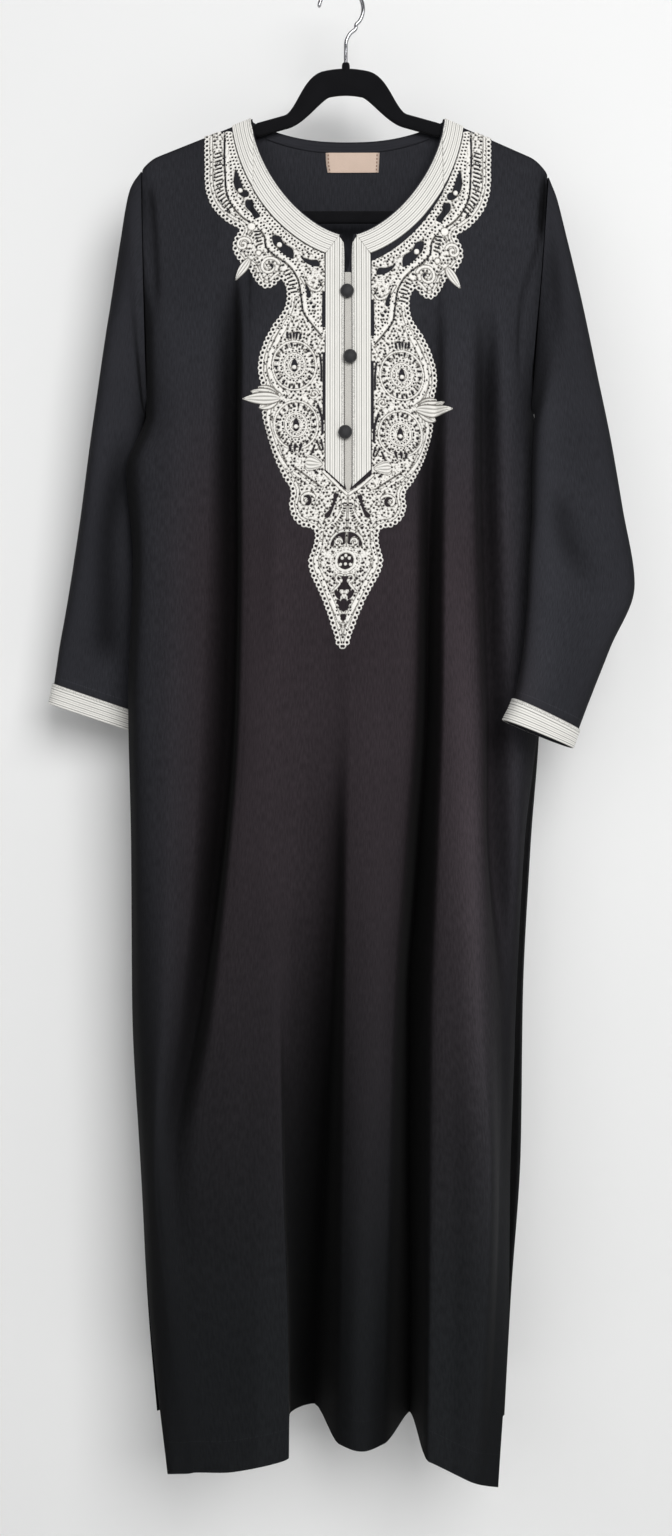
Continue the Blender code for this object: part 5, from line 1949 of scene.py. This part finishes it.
@dataclass
class LaceWork:
    """The lace on the chest: a half pattern, worked once and laid on both sides and in the pendant."""

    cell: float = 0.72
    thick: float = 1.75
    lift: float = 0.3
    sway: float = 5.6
    sway_drops: Place = (515, 700)
    sag: float = 9.0
    sag_shape: tuple[Path, Path] = ((190, 300, 470, 505, LACE_SPLIT_DROP), (0, 1, 1, 0.5, 0))
    pattern: LacePattern = field(init=False)

    def __post_init__(self) -> None:
        """Works the pattern from its edge inwards and from the shoulder down."""
        self.pattern = LacePattern(self.cell)
        self.ground_fill()
        self.upper_motifs()
        self.rosettes()
        self.lower_motifs()
        self.pendant_motifs()
        self.leaves()

    def neck_line(self, inset: float, first: float, last: float) -> Array:
        """Places along the neckline's right half, between two drops, as distances from the centre line."""
        line = neck_curve(inset, Side.RIGHT, 300) - (CENTRE, 0)
        return line[(line[:, 1] > first) & (line[:, 1] < last) & (line[:, 0] > PLACKET_OUTER + 2.8)]

    def ground_fill(self) -> None:
        """Fills the outline with knots, and runs the edge's loops and the vine over it."""
        work = self.pattern
        neck = self.neck_line(BRAID_INSET + BRAID_WIDTH + 0.8, 120, 286.5)
        edge = along(LACE_EDGE, 1.0)
        work.solid = work.within(np.concatenate([beside(edge, 2.2), LACE_INNER_EDGE[::-1], neck[::-1]]))
        work.knots(2.9)
        work.cord(beside(edge, 6.6), 2.4, 0.9, bridge=False, twist=2.9)
        work.rings(beside(edge, 2.1), 5.2, 2.85, 1.35)
        work.cord(beside(VINE, 2.5), 3.2, 0.0, bridge=False)
        work.ditch(VINE, 1.4)
        work.rings(beside(VINE, 6.2), 4.0, 2.1, 1.1)
        for inset, last in ((29.3, 300), (33.3, 284)):
            work.rings(self.neck_line(inset, 150, last), 4.0, 2.1, 1.05)

    def upper_motifs(self) -> None:
        """Works the bars, the long openings and the scrolls between the shoulder and the first rosette."""
        work = self.pattern
        bars = ((133.5, 174), (133, 190), (132.3, 206), (131, 219), (126.5, 231), (121, 239.5))
        work.ladder(bars, 7.2, 4.3, 1.7, 0.25)
        work.hole((115.6, 195), (117.2, 206), (115.8, 215), (113, 220.5), (107.7, 225), (102.3, 225),
                  (101.7, 220.5), (106.3, 217.5), (109, 211), (112.3, 202))
        work.bead(110.3, 218.3, 2.5)
        work.hole((104.3, 229), (98.4, 228.4), (96.4, 236.3), (90.6, 247), (93.7, 248.3), (99.7, 241.6),
                  (105, 234))
        work.hole((76.4, 267), (70.5, 268), (65.2, 276), (56.2, 283), (56.5, 292.5), (62.5, 289.4),
                  (70.5, 282.5), (75.8, 276))
        work.bead(69.8, 277.5, 2.8)
        work.hole((47.9, 290.8), (38.6, 294), (30.6, 295), (28.8, 300.5), (35.9, 300.4), (42.6, 297))
        work.ladder(((93, 261), (92, 269), (89, 279)), 6.0, 3.6, 1.5)
        work.bead(98.5, 257.5, 3.9)
        work.scroll((107, 276.5), 7.5, 200, 1.25, 2.4)
        work.bead(91, 286, 2.6)
        work.scroll((80, 301), 10.5, -160, 1.3, 2.4)
        work.hole((81.5, 297.5), (77, 298), (76, 302), (79, 305), (77.6, 301.5))
        work.petals((81, 303), (11.5, 11.5), (15.5, 15.5), np.arange(-30.0, 200.0, 25.0), 1.6)
        work.ladder(((63.5, 304), (57.5, 317), (54.8, 330)), 6.2, 4.0, 1.5)
        work.cord(((47.5, 313), (41, 322.5), (31, 327), (24.6, 319)), 1.8, 1.2)
        work.rings(((36, 304), (31, 309), (30, 318), (36, 321), (40, 313)), 3.2, 1.6, 0.6)
        work.ditch(((29.5, 316), (26.5, 322)), 1.4)
        work.hole((43.8, 318), (42, 326), (40.2, 334.5), (38.4, 334), (38.8, 327))
        work.ditch(((24.6, 329), (24.8, 345), (24.9, 364)), 2.8)
        work.prick(((28.2, 355.5), (37.5, 340), (35, 344)), 1.6)
        work.rings(((31, 331), (30.5, 345), (30.2, 364)), 4.4, 2.2, 0.9)

    def rosettes(self) -> None:
        """Works the two rosettes, the palmettes at them and the slits between them and the placket."""
        work = self.pattern
        work.cord(((60, 357), (71, 378), (78.6, 395), (79.2, 408), (73.5, 424), (64, 433)), 4.2, bridge=False)
        work.rosette((54.2, 404.5), (22.5, 25.5))
        work.rosette((52.5, 465.0), (22.5, 25.0))
        work.petals((54.6, 398), (19.5, 19.5), (28.5, 28.5), np.linspace(-106, -74, 5), 2.7)
        work.petals((53.5, 506), (13, 13), (22, 22), np.linspace(-107, -73, 3), 2.9)
        work.ditch(((28.4, 393), (27.4, 402), (26.9, 420)), 1.6)
        work.ditch(((24.4, 392), (24.5, 425), (24.5, 459)), 2.2)
        work.ditch(((30.5, 445), (26.4, 459), (25.8, 473)), 2.0)
        work.scroll((34.5, 433.5), 4.6, 20, 1.1, 1.6)
        work.cord(((79, 447), (80.8, 460), (77, 478), (70, 496), (60, 512)), 3.4, bridge=False)

    def lower_motifs(self) -> None:
        """Works what lies round the foot of the placket."""
        work = self.pattern
        work.ditch(((33.7, 485.5), (37.5, 495), (42.4, 503), (36, 509), (30.8, 514)), 1.7)
        work.ditch(((31.5, 481), (28, 490)), 1.5)
        work.ditch(((27.2, 480), (25.2, 490)), 1.5)
        work.ditch(((56.7, 506), (42, 516.5), (27, 528)), 1.1)
        work.cord(((60, 509.5), (44, 521), (28, 533)), 2.4, 0.5, bridge=False)
        work.rings(((50, 507), (38, 516), (24, 526)), 3.6, 1.7, 0.7)
        work.cord(((24.8, 512.2), (14.8, 522), (4.8, 531.6), (0, 536)), 2.4)
        work.scroll((41, 541.5), 8.5, -150, 0.9, 2.4)
        work.hole((44.5, 537), (40, 535.8), (36.6, 540), (39.5, 546.5), (42.8, 545.4), (39.8, 541.5),
                  (41, 538.6))
        work.hole((13.2, 533.6), (9.4, 535), (12.2, 541), (14.2, 548), (21.2, 558.8), (22.6, 558), (17, 549),
                  (14.6, 541))
        work.cord(((4.5, 541), (6, 552), (12, 562), (20, 568.5), (28, 573)), 2.6, 0.7, bridge=False)
        work.ladder(((2.6, 543), (4.0, 553), (8.5, 562), (15, 569)), 3.0, 2.6, 1.1)
        work.cord(((-2, 536), (-2, 575)), 5.0, 0.5, bridge=False)

    def pendant_motifs(self) -> None:
        """Works the pendant: its arch, its round window with beads, and its long tip."""
        work = self.pattern
        work.cord(((26, 585), (30, 603), (20, 627), (9, 650), (3.2, 663)), 4.0, bridge=False)
        work.cord(work.oval((0, 589), (17.5, 17.0), -100, 0), 2.6, bridge=False)
        work.hole((1.5, 573.5), (1.5, 585), (3.6, 586), (4, 580), (8, 577.5), (12, 580), (13.5, 587.5),
                  (15.2, 587), (14.2, 581), (10, 576))
        work.scroll((8.4, 583.5), 4.4, 180, 0.9, 1.5)
        work.cord(work.oval(WINDOW, (9.6, 9.8)), 2.6, 0.4)
        work.rings(work.oval(WINDOW, (13.6, 13.4))[:-1], 3.4, 1.6, 0.65)
        work.hole(*(tuple(place) for place in work.oval(WINDOW, (7.7, 8.0))[:-1:3]))
        for u, z in ((3.6, 599.5), (0, 605.5), (5.0, 606.0), (0, 597)):
            work.bead(u, z, 1.75)
        work.hole((-2, 618.4), (3.8, 618.2), (1.8, 622), (4, 626), (7, 630), (-2, 630))
        heart = ((2.4, 617), (5.4, 616), (8.6, 618.5), (8, 622), (4.6, 624.5), (8.4, 629.8), (11.5, 633))
        work.cord(heart, 1.7)
        work.prick(((6.2, 619.8), (12, 620), (15.5, 613)), 1.3)
        work.hole((5.2, 633), (9.5, 631.8), (8, 638), (4.5, 641))
        work.hole((-2, 640.5), (1.2, 640.5), (0.9, 653), (-2, 655))
        work.hole((4.8, 641.5), (6.4, 641), (2.8, 652), (1.9, 655), (2.2, 649))
        work.hole((-2, 656), (2.4, 656), (0.9, 662), (-2, 663.5))
        work.prick(((0.0, 679.0),), 1.1)

    def leaves(self) -> None:
        """Works the ribbed leaves, over everything else."""
        for tip, base, width, ribs, swell in (
            ((114.5, 313.5), (100, 292), 9.0, 3, 0.75), ((25.5, 505), (43, 503), 16, 4, 0.5),
            ((90, 447.5), (70, 438), 12, 3, 0.9), ((91, 425.5), (70, 437), 12, 3, 0.9),
            ((98.5, 429.5), (70, 437), 12, 3, 0.8), ((106.5, 437), (68, 438), 12.5, 3, 0.8),
        ):
            self.pattern.leaf(tip, base, width, ribs, swell)

    def cut_out(self, solid: Array) -> tuple[Array, Array]:
        """Finds what is left of a stretch of the pattern when its holes are out.

        Args:
            solid: The distance in from the nearest edge.

        Returns:
            Which places are used, and the faces of the wall on them.
        """
        inside = solid > 0
        cells = inside[:-1, :-1] | inside[1:, :-1] | inside[:-1, 1:] | inside[1:, 1:]
        used = np.zeros(solid.shape, bool)
        for down, over in np.ndindex(2, 2):
            used[down : down + cells.shape[0], over : over + cells.shape[1]] |= cells
        number, count = np.full(solid.shape, -1), int(used.sum())
        number[used] = np.arange(count)
        quads = quads_of(number)[cells.ravel()]
        padded, rims = np.pad(cells, 1), []
        for first, second, lone in (
            (number[:, :-1], number[:, 1:], padded[:-1, 1:-1] != padded[1:, 1:-1]),
            (number[:-1, :], number[1:, :], padded[1:-1, :-1] != padded[1:-1, 1:]),
        ):
            a, b = first[lone], second[lone]
            rims.append(np.stack([a, b, b + count, a + count], axis=1))
        return used, np.concatenate([quads, quads[:, ::-1] + count, *rims])

    def lay(self, tag: Tag, side: Side, pendant: bool, ground: Ground, finish: Material) -> Piece:
        """Lays a stretch of the pattern on the cloth.

        Args:
            tag: What the piece is.
            side: The side that it lies on.
            pendant: Whether it is the pendant, which takes both halves, or else a half above it.
            ground: The face of the front.
            finish: The lace's material.

        Returns:
            The piece.
        """
        pattern = self.pattern
        rows = slice(pattern.split, None) if pendant else slice(0, pattern.split + 1)
        tables, u = [pattern.solid[rows], pattern.rise[rows], pattern.z[rows]], pattern.u[0]
        if pendant:
            tables = [np.concatenate([table[:, :0:-1], table], axis=1) for table in tables]
            u = np.concatenate([-u[:0:-1], u])
        solid, rise, z = tables
        used, faces = self.cut_out(solid)
        slope_z, slope_u = np.gradient(solid, self.cell)
        shift = np.where(solid > 0, 0.0, -solid / np.maximum(slope_z**2 + slope_u**2, 0.25))
        most = 0.85 * self.cell
        out = (u + np.clip(shift * slope_u, -most, most))[used]
        drop = (z + np.clip(shift * slope_z, -most, most))[used]
        across = CENTRE + side.value * out - self.sway * fade(drop, *self.sway_drops)
        if side is Side.RIGHT and not pendant:
            drop = drop + self.sag * (np.interp(drop, *self.sag_shape) * fade(out, 0, 14))
        drop = np.maximum(drop, shoulder_drop(across) + 1.0)
        rise = rise[used]
        rounded = 0.35 + 0.65 * np.sqrt(np.clip(solid[used] / 0.9, 0, 1))
        points = np.concatenate(ground.faces(
            np.stack([across, drop], axis=-1), self.lift, self.thick * (0.2 + 0.8 * rise) * rounded,
        ))
        # Painted shade: the low places, and the thin rim of the lace, darker
        shade = np.concatenate([rise * np.clip(rounded + 0.25, 0, 1), np.zeros(len(rise))])
        return mesh_piece(tag, points, faces.tolist(), finish, marks={"rise": shade})

    def build(self, ground: Ground, finish: Material) -> list[Piece]:
        """Makes the two halves and the pendant.

        Args:
            ground: The face of the front.
            finish: The lace.

        Returns:
            The three pieces.
        """
        return [
            self.lay(Tag(f"{name}_cords", name, "ivory_lace"), side, name == "lace_pendant", ground, finish)
            for name, side in (
                ("lace_left", Side.LEFT), ("lace_right", Side.RIGHT), ("lace_pendant", Side.RIGHT),
            )
        ]


def swept(path: Array, high: Array, deep: Array, sides: int, squareness: float = 1.0) -> tuple[Array, list]:
    """A rounded bar swept along a path in the plane of the hanger.

    Args:
        path: Its middle line, (across, drop).
        high: Its half height at each point.
        deep: Its half depth at each point.
        sides: How many sides its section has.
        squareness: 1 for an oval section, less for a squarer one.

    Returns:
        Its points and its faces.
    """
    ahead = np.gradient(path, axis=0)
    ahead /= np.linalg.norm(ahead, axis=1, keepdims=True)
    turn = TURN * (np.arange(sides) + 0.5) / sides
    up, depth = (
        half[:, None] * np.sign(wave) * np.abs(wave) ** squareness
        for half, wave in ((high, np.cos(turn)), (deep, np.sin(turn)))
    )
    across, drop = path[:, :1] - ahead[:, 1:] * up, path[:, 1:] + ahead[:, :1] * up
    points = np.stack([across, np.broadcast_to(depth, across.shape), drop], axis=-1).reshape(-1, 3)
    index = np.arange(len(points)).reshape(len(path), sides)
    quads = quads_of(np.concatenate([index, index[:, :1]], axis=1))
    return points, [*quads.tolist(), index[0].tolist(), index[-1][::-1].tolist()]


@dataclass
class Hanger:
    """The flocked hanger and its plated hook."""

    half_depth: float = 3.0
    arm_half_height: float = 7.0
    arch_half_height: float = 14.0
    arch_drop: float = 97.0
    bar_half_height: float = 6.5
    under_shoulder: float = 3.1
    stem_across: float = 5.0
    squareness: float = 0.72
    notches: tuple[float, float] = (-90.0, 103.5)
    notch_depth: float = 3.2
    notch_half: float = 2.6
    arch_reach: Place = (20, 62)
    arch_bend: float = 0.0055
    neck_bend: float = 0.28
    collar_radii: tuple[float, ...] = (4.2, 4.2, 3.6, 2.6)
    collar_drops: tuple[float, ...] = (90.0, 80.0, 77.6, 76.8)
    wire_radius: float = 2.1
    hook_radius: float = 23.0

    def arch(self, across: float) -> Place:
        """Drop of the middle of the neck arch and arms, and their half height.

        Args:
            across: The place across.

        Returns:
            The drop and the half height.
        """
        blend = float(fade(abs(across - self.stem_across), *self.arch_reach))
        inside_neck = max(0.0, NECK_HALF - 4 - abs(across - CENTRE))
        arm = float(shoulder_drop(across)) if inside_neck == 0 else NECK_DROP - self.neck_bend * inside_neck
        arm += self.under_shoulder + self.arm_half_height * 1.07
        crown = self.arch_drop + self.arch_bend * (across - self.stem_across) ** 2
        half = self.arch_half_height + (self.arm_half_height - self.arch_half_height) * blend
        return crown + (arm - crown) * blend, half

    def arms(self, finish: Material) -> Piece:
        """Makes the arms, their rounded tips, the strap notches and the collar of the hook.

        Args:
            finish: Its material.

        Returns:
            The piece.
        """
        left = ((-186, BAR_DROP), (-189, BAR_DROP), (-196, 232), (-200.5, 222), (-201, 210), (-196.5, 199.5))
        right = ((194, BAR_DROP), (197, BAR_DROP), (204, 233), (208.5, 224), (209, 213), (204.5, 204))
        stretch = np.linspace(-187, 194, 150)
        line = np.array([self.arch(float(x)) for x in stretch])
        before, after = along(left, 2.0)[:-1], along(right[::-1], 2.0)[1:]
        path = np.concatenate([before, np.stack([stretch, line[:, 0]], axis=1), after])
        half = np.full(len(path), self.bar_half_height)
        half[len(before) : len(before) + len(line)] = line[:, 1]
        for notch in self.notches:
            aside = (path[:, 0] - notch) / self.notch_half
            dip = self.notch_depth * np.exp(-(aside**4)) * (path[:, 1] < 200)
            half -= dip / 2
            path[:, 1] += dip / 2
        points, faces = swept(path, half, np.full(len(path), self.half_depth), 26, self.squareness)
        radius = np.array(self.collar_radii)
        collar = np.array([(self.stem_across, z) for z in self.collar_drops])
        more, more_faces = swept(collar, radius, radius * 0.7, 20)
        faces += [[k + len(points) for k in face] for face in more_faces]
        tag = Tag("hanger_arms_velvet", "hanger_arms", "black_velvet")
        return mesh_piece(tag, np.concatenate([points, more]), faces, finish)

    def bar(self, finish: Material) -> Piece:
        """Makes the bar along the bottom.

        Args:
            finish: Its material.

        Returns:
            The piece.
        """
        path = np.stack([np.linspace(-185.5, 193.5, 60), np.full(60, BAR_DROP)], axis=1)
        half = np.full(60, self.bar_half_height)
        shape = swept(path, half, np.full(60, self.half_depth), 26, self.squareness)
        return mesh_piece(Tag("hanger_bar_velvet", "hanger_bar", "black_velvet"), *shape, finish)

    def hook(self, finish: Material) -> Piece:
        """Makes the wire hook, with a rounded tip.

        Args:
            finish: Its material.

        Returns:
            The piece.
        """
        places = [(self.stem_across, 83.4), (self.stem_across, 64.0), (5.6, 54.0), (9.5, 46.5), (15.5, 40.5)]
        centre_drop = self.hook_radius - self.wire_radius
        for turn in map(math.radians, range(48, -190, -14)):
            down = self.hook_radius * math.sin(turn)
            places.append((self.hook_radius * math.cos(turn), centre_drop + down))
        path = along(places, 1.2)
        length = lengths(path)
        from_end = np.clip(1 - (length[-1] - length) / self.wire_radius, 0, 0.97)
        radius = self.wire_radius * np.sqrt(np.clip(1 - from_end**2, 0, 1))
        return mesh_piece(Tag("hook_wire", "hanger_hook", "chrome"), *swept(path, radius, radius, 24), finish)


@dataclass
class Studio:
    """The pale wall and floor, the soft lights and the camera, in metres."""

    wall_depth: float = 0.096
    floor: float = -1.95
    bend: float = 0.28
    ends: tuple[Place, Place] = ((0.096, 2.0), (-4.5, -1.95))
    half_width: float = 4.0
    camera_at: Triple = (-0.0052, -1.5, -0.81016)
    lens: float = 18 / (1536 * 1.04 / 2 / 1500)
    air: tuple[float, ...] = (0.95, 0.97, 1.0, 1.0)
    air_light: float = 0.17

    def backdrop(self, finish: Material) -> None:
        """Makes the wall, curved into the floor.

        Args:
            finish: Its material.
        """
        curve = [
            (self.wall_depth - self.bend * (1 - math.cos(t)), self.floor + self.bend * (1 - math.sin(t)))
            for t in np.linspace(0, math.pi / 2, 17)
        ]
        profile = [self.ends[0], *curve, self.ends[1]]
        points = [(x, y, z) for x in (-self.half_width, self.half_width) for y, z in profile]
        faces = quads_of(np.arange(len(points)).reshape(2, -1).T)
        mesh = bpy.data.meshes.new("pale_wall")
        mesh.from_pydata(points, [], faces.tolist())
        if mesh.polygons[0].normal.y > 0:
            mesh.flip_normals()
        mesh.materials.append(finish)
        mesh.shade_smooth()
        wall = bpy.data.objects.new("pale_wall", mesh)
        bpy.context.collection.objects.link(wall)

    def light(self, name: str, at: Triple, aim: Triple, size: float, power: float) -> None:
        """Hangs a square soft light.

        Args:
            name: The light's name.
            at: Where it is.
            aim: Where it points.
            size: Its side.
            power: Its power in watts.
        """
        lamp = bpy.data.lights.new(name, "AREA")
        lamp.shape = "SQUARE"
        lamp.size, lamp.energy = size, power
        made = bpy.data.objects.new(name, lamp)
        made.location = at
        made.rotation_euler = (Vector(aim) - Vector(at)).to_track_quat("-Z", "Y").to_euler()
        bpy.context.collection.objects.link(made)

    def build(self, finish: Material) -> None:
        """Sets everything round the garment.

        Args:
            finish: The wall's material.
        """
        self.backdrop(finish)
        self.light("key", (0.85, -2.7, 0.3), (0.0, 0.0, -0.62), 1.8, 74.0)
        self.light("fill", (-1.4, -2.7, 0.0), (0.0, 0.0, -0.6), 2.0, 16.0)
        world = bpy.data.worlds.new("studio")
        world.use_nodes = True
        background = world.node_tree.nodes["Background"].inputs
        background[0].default_value, background[1].default_value = self.air, self.air_light
        camera = bpy.data.cameras.new("camera")
        camera.sensor_fit = "AUTO"
        camera.sensor_width = 36.0
        camera.lens = self.lens
        camera.clip_end = 50.0
        made = bpy.data.objects.new("camera", camera)
        made.location = self.camera_at
        made.rotation_euler = (math.pi / 2, 0, 0)
        bpy.context.collection.objects.link(made)
        scene = bpy.context.scene
        scene.world, scene.camera = world, made
        scene.view_settings.view_transform = "Standard"


def panel_columns() -> Array:
    """Where the columns of a panel lie at the bust: close together where the neckline is steep.

    Returns:
        The across of each column.
    """
    turn = np.linspace(0, math.pi / 2, 46)
    out = NECK_HALF * np.cos(turn) ** (2 / NECK_ROUNDNESS)
    left = np.linspace(SIDES_AT_BUST[0], CENTRE - NECK_HALF, 57)[:-1]
    right = np.linspace(CENTRE + NECK_HALF, SIDES_AT_BUST[1], 49)[1:]
    return np.concatenate([left, CENTRE - out, (CENTRE + out[::-1])[1:], right])


def main() -> None:
    """Builds and dresses the kaftan from its panels outwards, then sets the studio."""
    logging.basicConfig(level=logging.INFO, format="%(name)s: %(message)s")
    groups = {"weave": weave_group(), "mottle": mottle_group()}
    wardrobe = {key: finish.material(groups) for key, finish in FINISHES.items()}
    columns = panel_columns()
    rows = np.concatenate([np.linspace(0.006, 0.965, 190), np.linspace(0.968, 1, 14)])
    back_rows = np.concatenate([np.linspace(0.008, 0.965, 110), np.linspace(0.970, 1, 8)])
    front = Panel(Face.FRONT, FRONT_FOLDS, columns, rows, FRONT_CREASES, 5)
    back = Panel(Face.BACK, BACK_FOLDS, columns[::2], back_rows, BACK_CREASES, 9)
    front.build(wardrobe["crepe"])
    back.build(wardrobe["crepe"])
    report.info("front and back panels: %d and %d places", front.outer[..., 0].size, back.outer[..., 0].size)
    for side, rings, creases, length, area, girth in (
        (Side.LEFT, LEFT_RINGS, LEFT_SLEEVE_CREASES, 0.56, 0.090, 0.25),
        (Side.RIGHT, RIGHT_RINGS, RIGHT_SLEEVE_CREASES, 0.60, 0.0975, 0.20),
    ):
        sleeve, cuff = Sleeve(side, rings, creases).build(wardrobe["crepe"], wardrobe["braid"])
        report.info("%s sleeve and cuff", side.word)
    face = Ground(front.outer)
    for side in Side:
        for cut, ribs, size in ((Cut.NECK, 10, (0.20, 0.024)), (Cut.PLACKET, 8, (0.25, 0.019))):
            band = BraidBand(side, cut, ribs).build(face, wardrobe["braid"])
            report.info("%s", band.name)
    middle = PLACKET_INNER - 0.35
    edge = [(middle, 307.0 + 3 * k) for k in range(73)] + [(middle - 0.8, 527.3), (0.5, 532.5)]
    left, right = (tuple((CENTRE + way * x, drop) for x, drop in edge) for way in (-1, 1))
    tag = Tag("strip_woven", "placket_strip", "grey_strip")
    strip = FlatStrip(tag, left, right, 0.9, 0.35, (140, 16)).build(face, wardrobe["ribbon"])
    lace = LaceWork().build(face, wardrobe["lace"])
    sizes = ((0.152, 0.405), (0.152, 0.405), (0.112, 0.130))
    for piece, size, area in zip(lace, sizes, (0.024, 0.024, 0.0075)):
        report.info("%s: %d faces", piece.name, len(piece.data.polygons))
    for name, across, drop in (("button_top", 6, 328), ("button_middle", 9, 396), ("button_low", 4, 473)):
        CoveredButton(name, across, drop).build(face, wardrobe["button"])
        report.info("%s", name)
    inside = Ground(back.inner)
    reach = NECK_HALF - FACING_INSET
    spread = np.linspace(-reach, reach, 41) + CENTRE
    upper, lower = (
        tuple((float(x), float(back_neck_drop(x)) + by) for x in spread) for by in FACING_EDGES
    )
    tag = Tag("neck_facing", "back_neck_band", "black_crepe")
    facing = FlatStrip(tag, upper, lower, 0.9, 0.25, (120, 10), 0.011).build(inside, wardrobe["crepe"])
    left = ((-16.0, 165.4), (-15.5, 176.0), (-14.0, 184.6))
    right = ((40.5, 165.4), (40.0, 176.0), (39.5, 184.6))
    tag = Tag("label_woven", "label", "peach_label")
    label = FlatStrip(tag, left, right, 0.7, 0.3, (24, 40), 1.0).build(inside, wardrobe["label"])
    report.info("neck facing and label")
    hanger = Hanger()
    hanger.arms(wardrobe["velvet"])
    hanger.bar(wardrobe["velvet"])
    hanger.hook(wardrobe["chrome"])
    report.info("hanger and hook")
    Studio().build(wardrobe["plaster"])


if __name__ == "__main__":
    main()
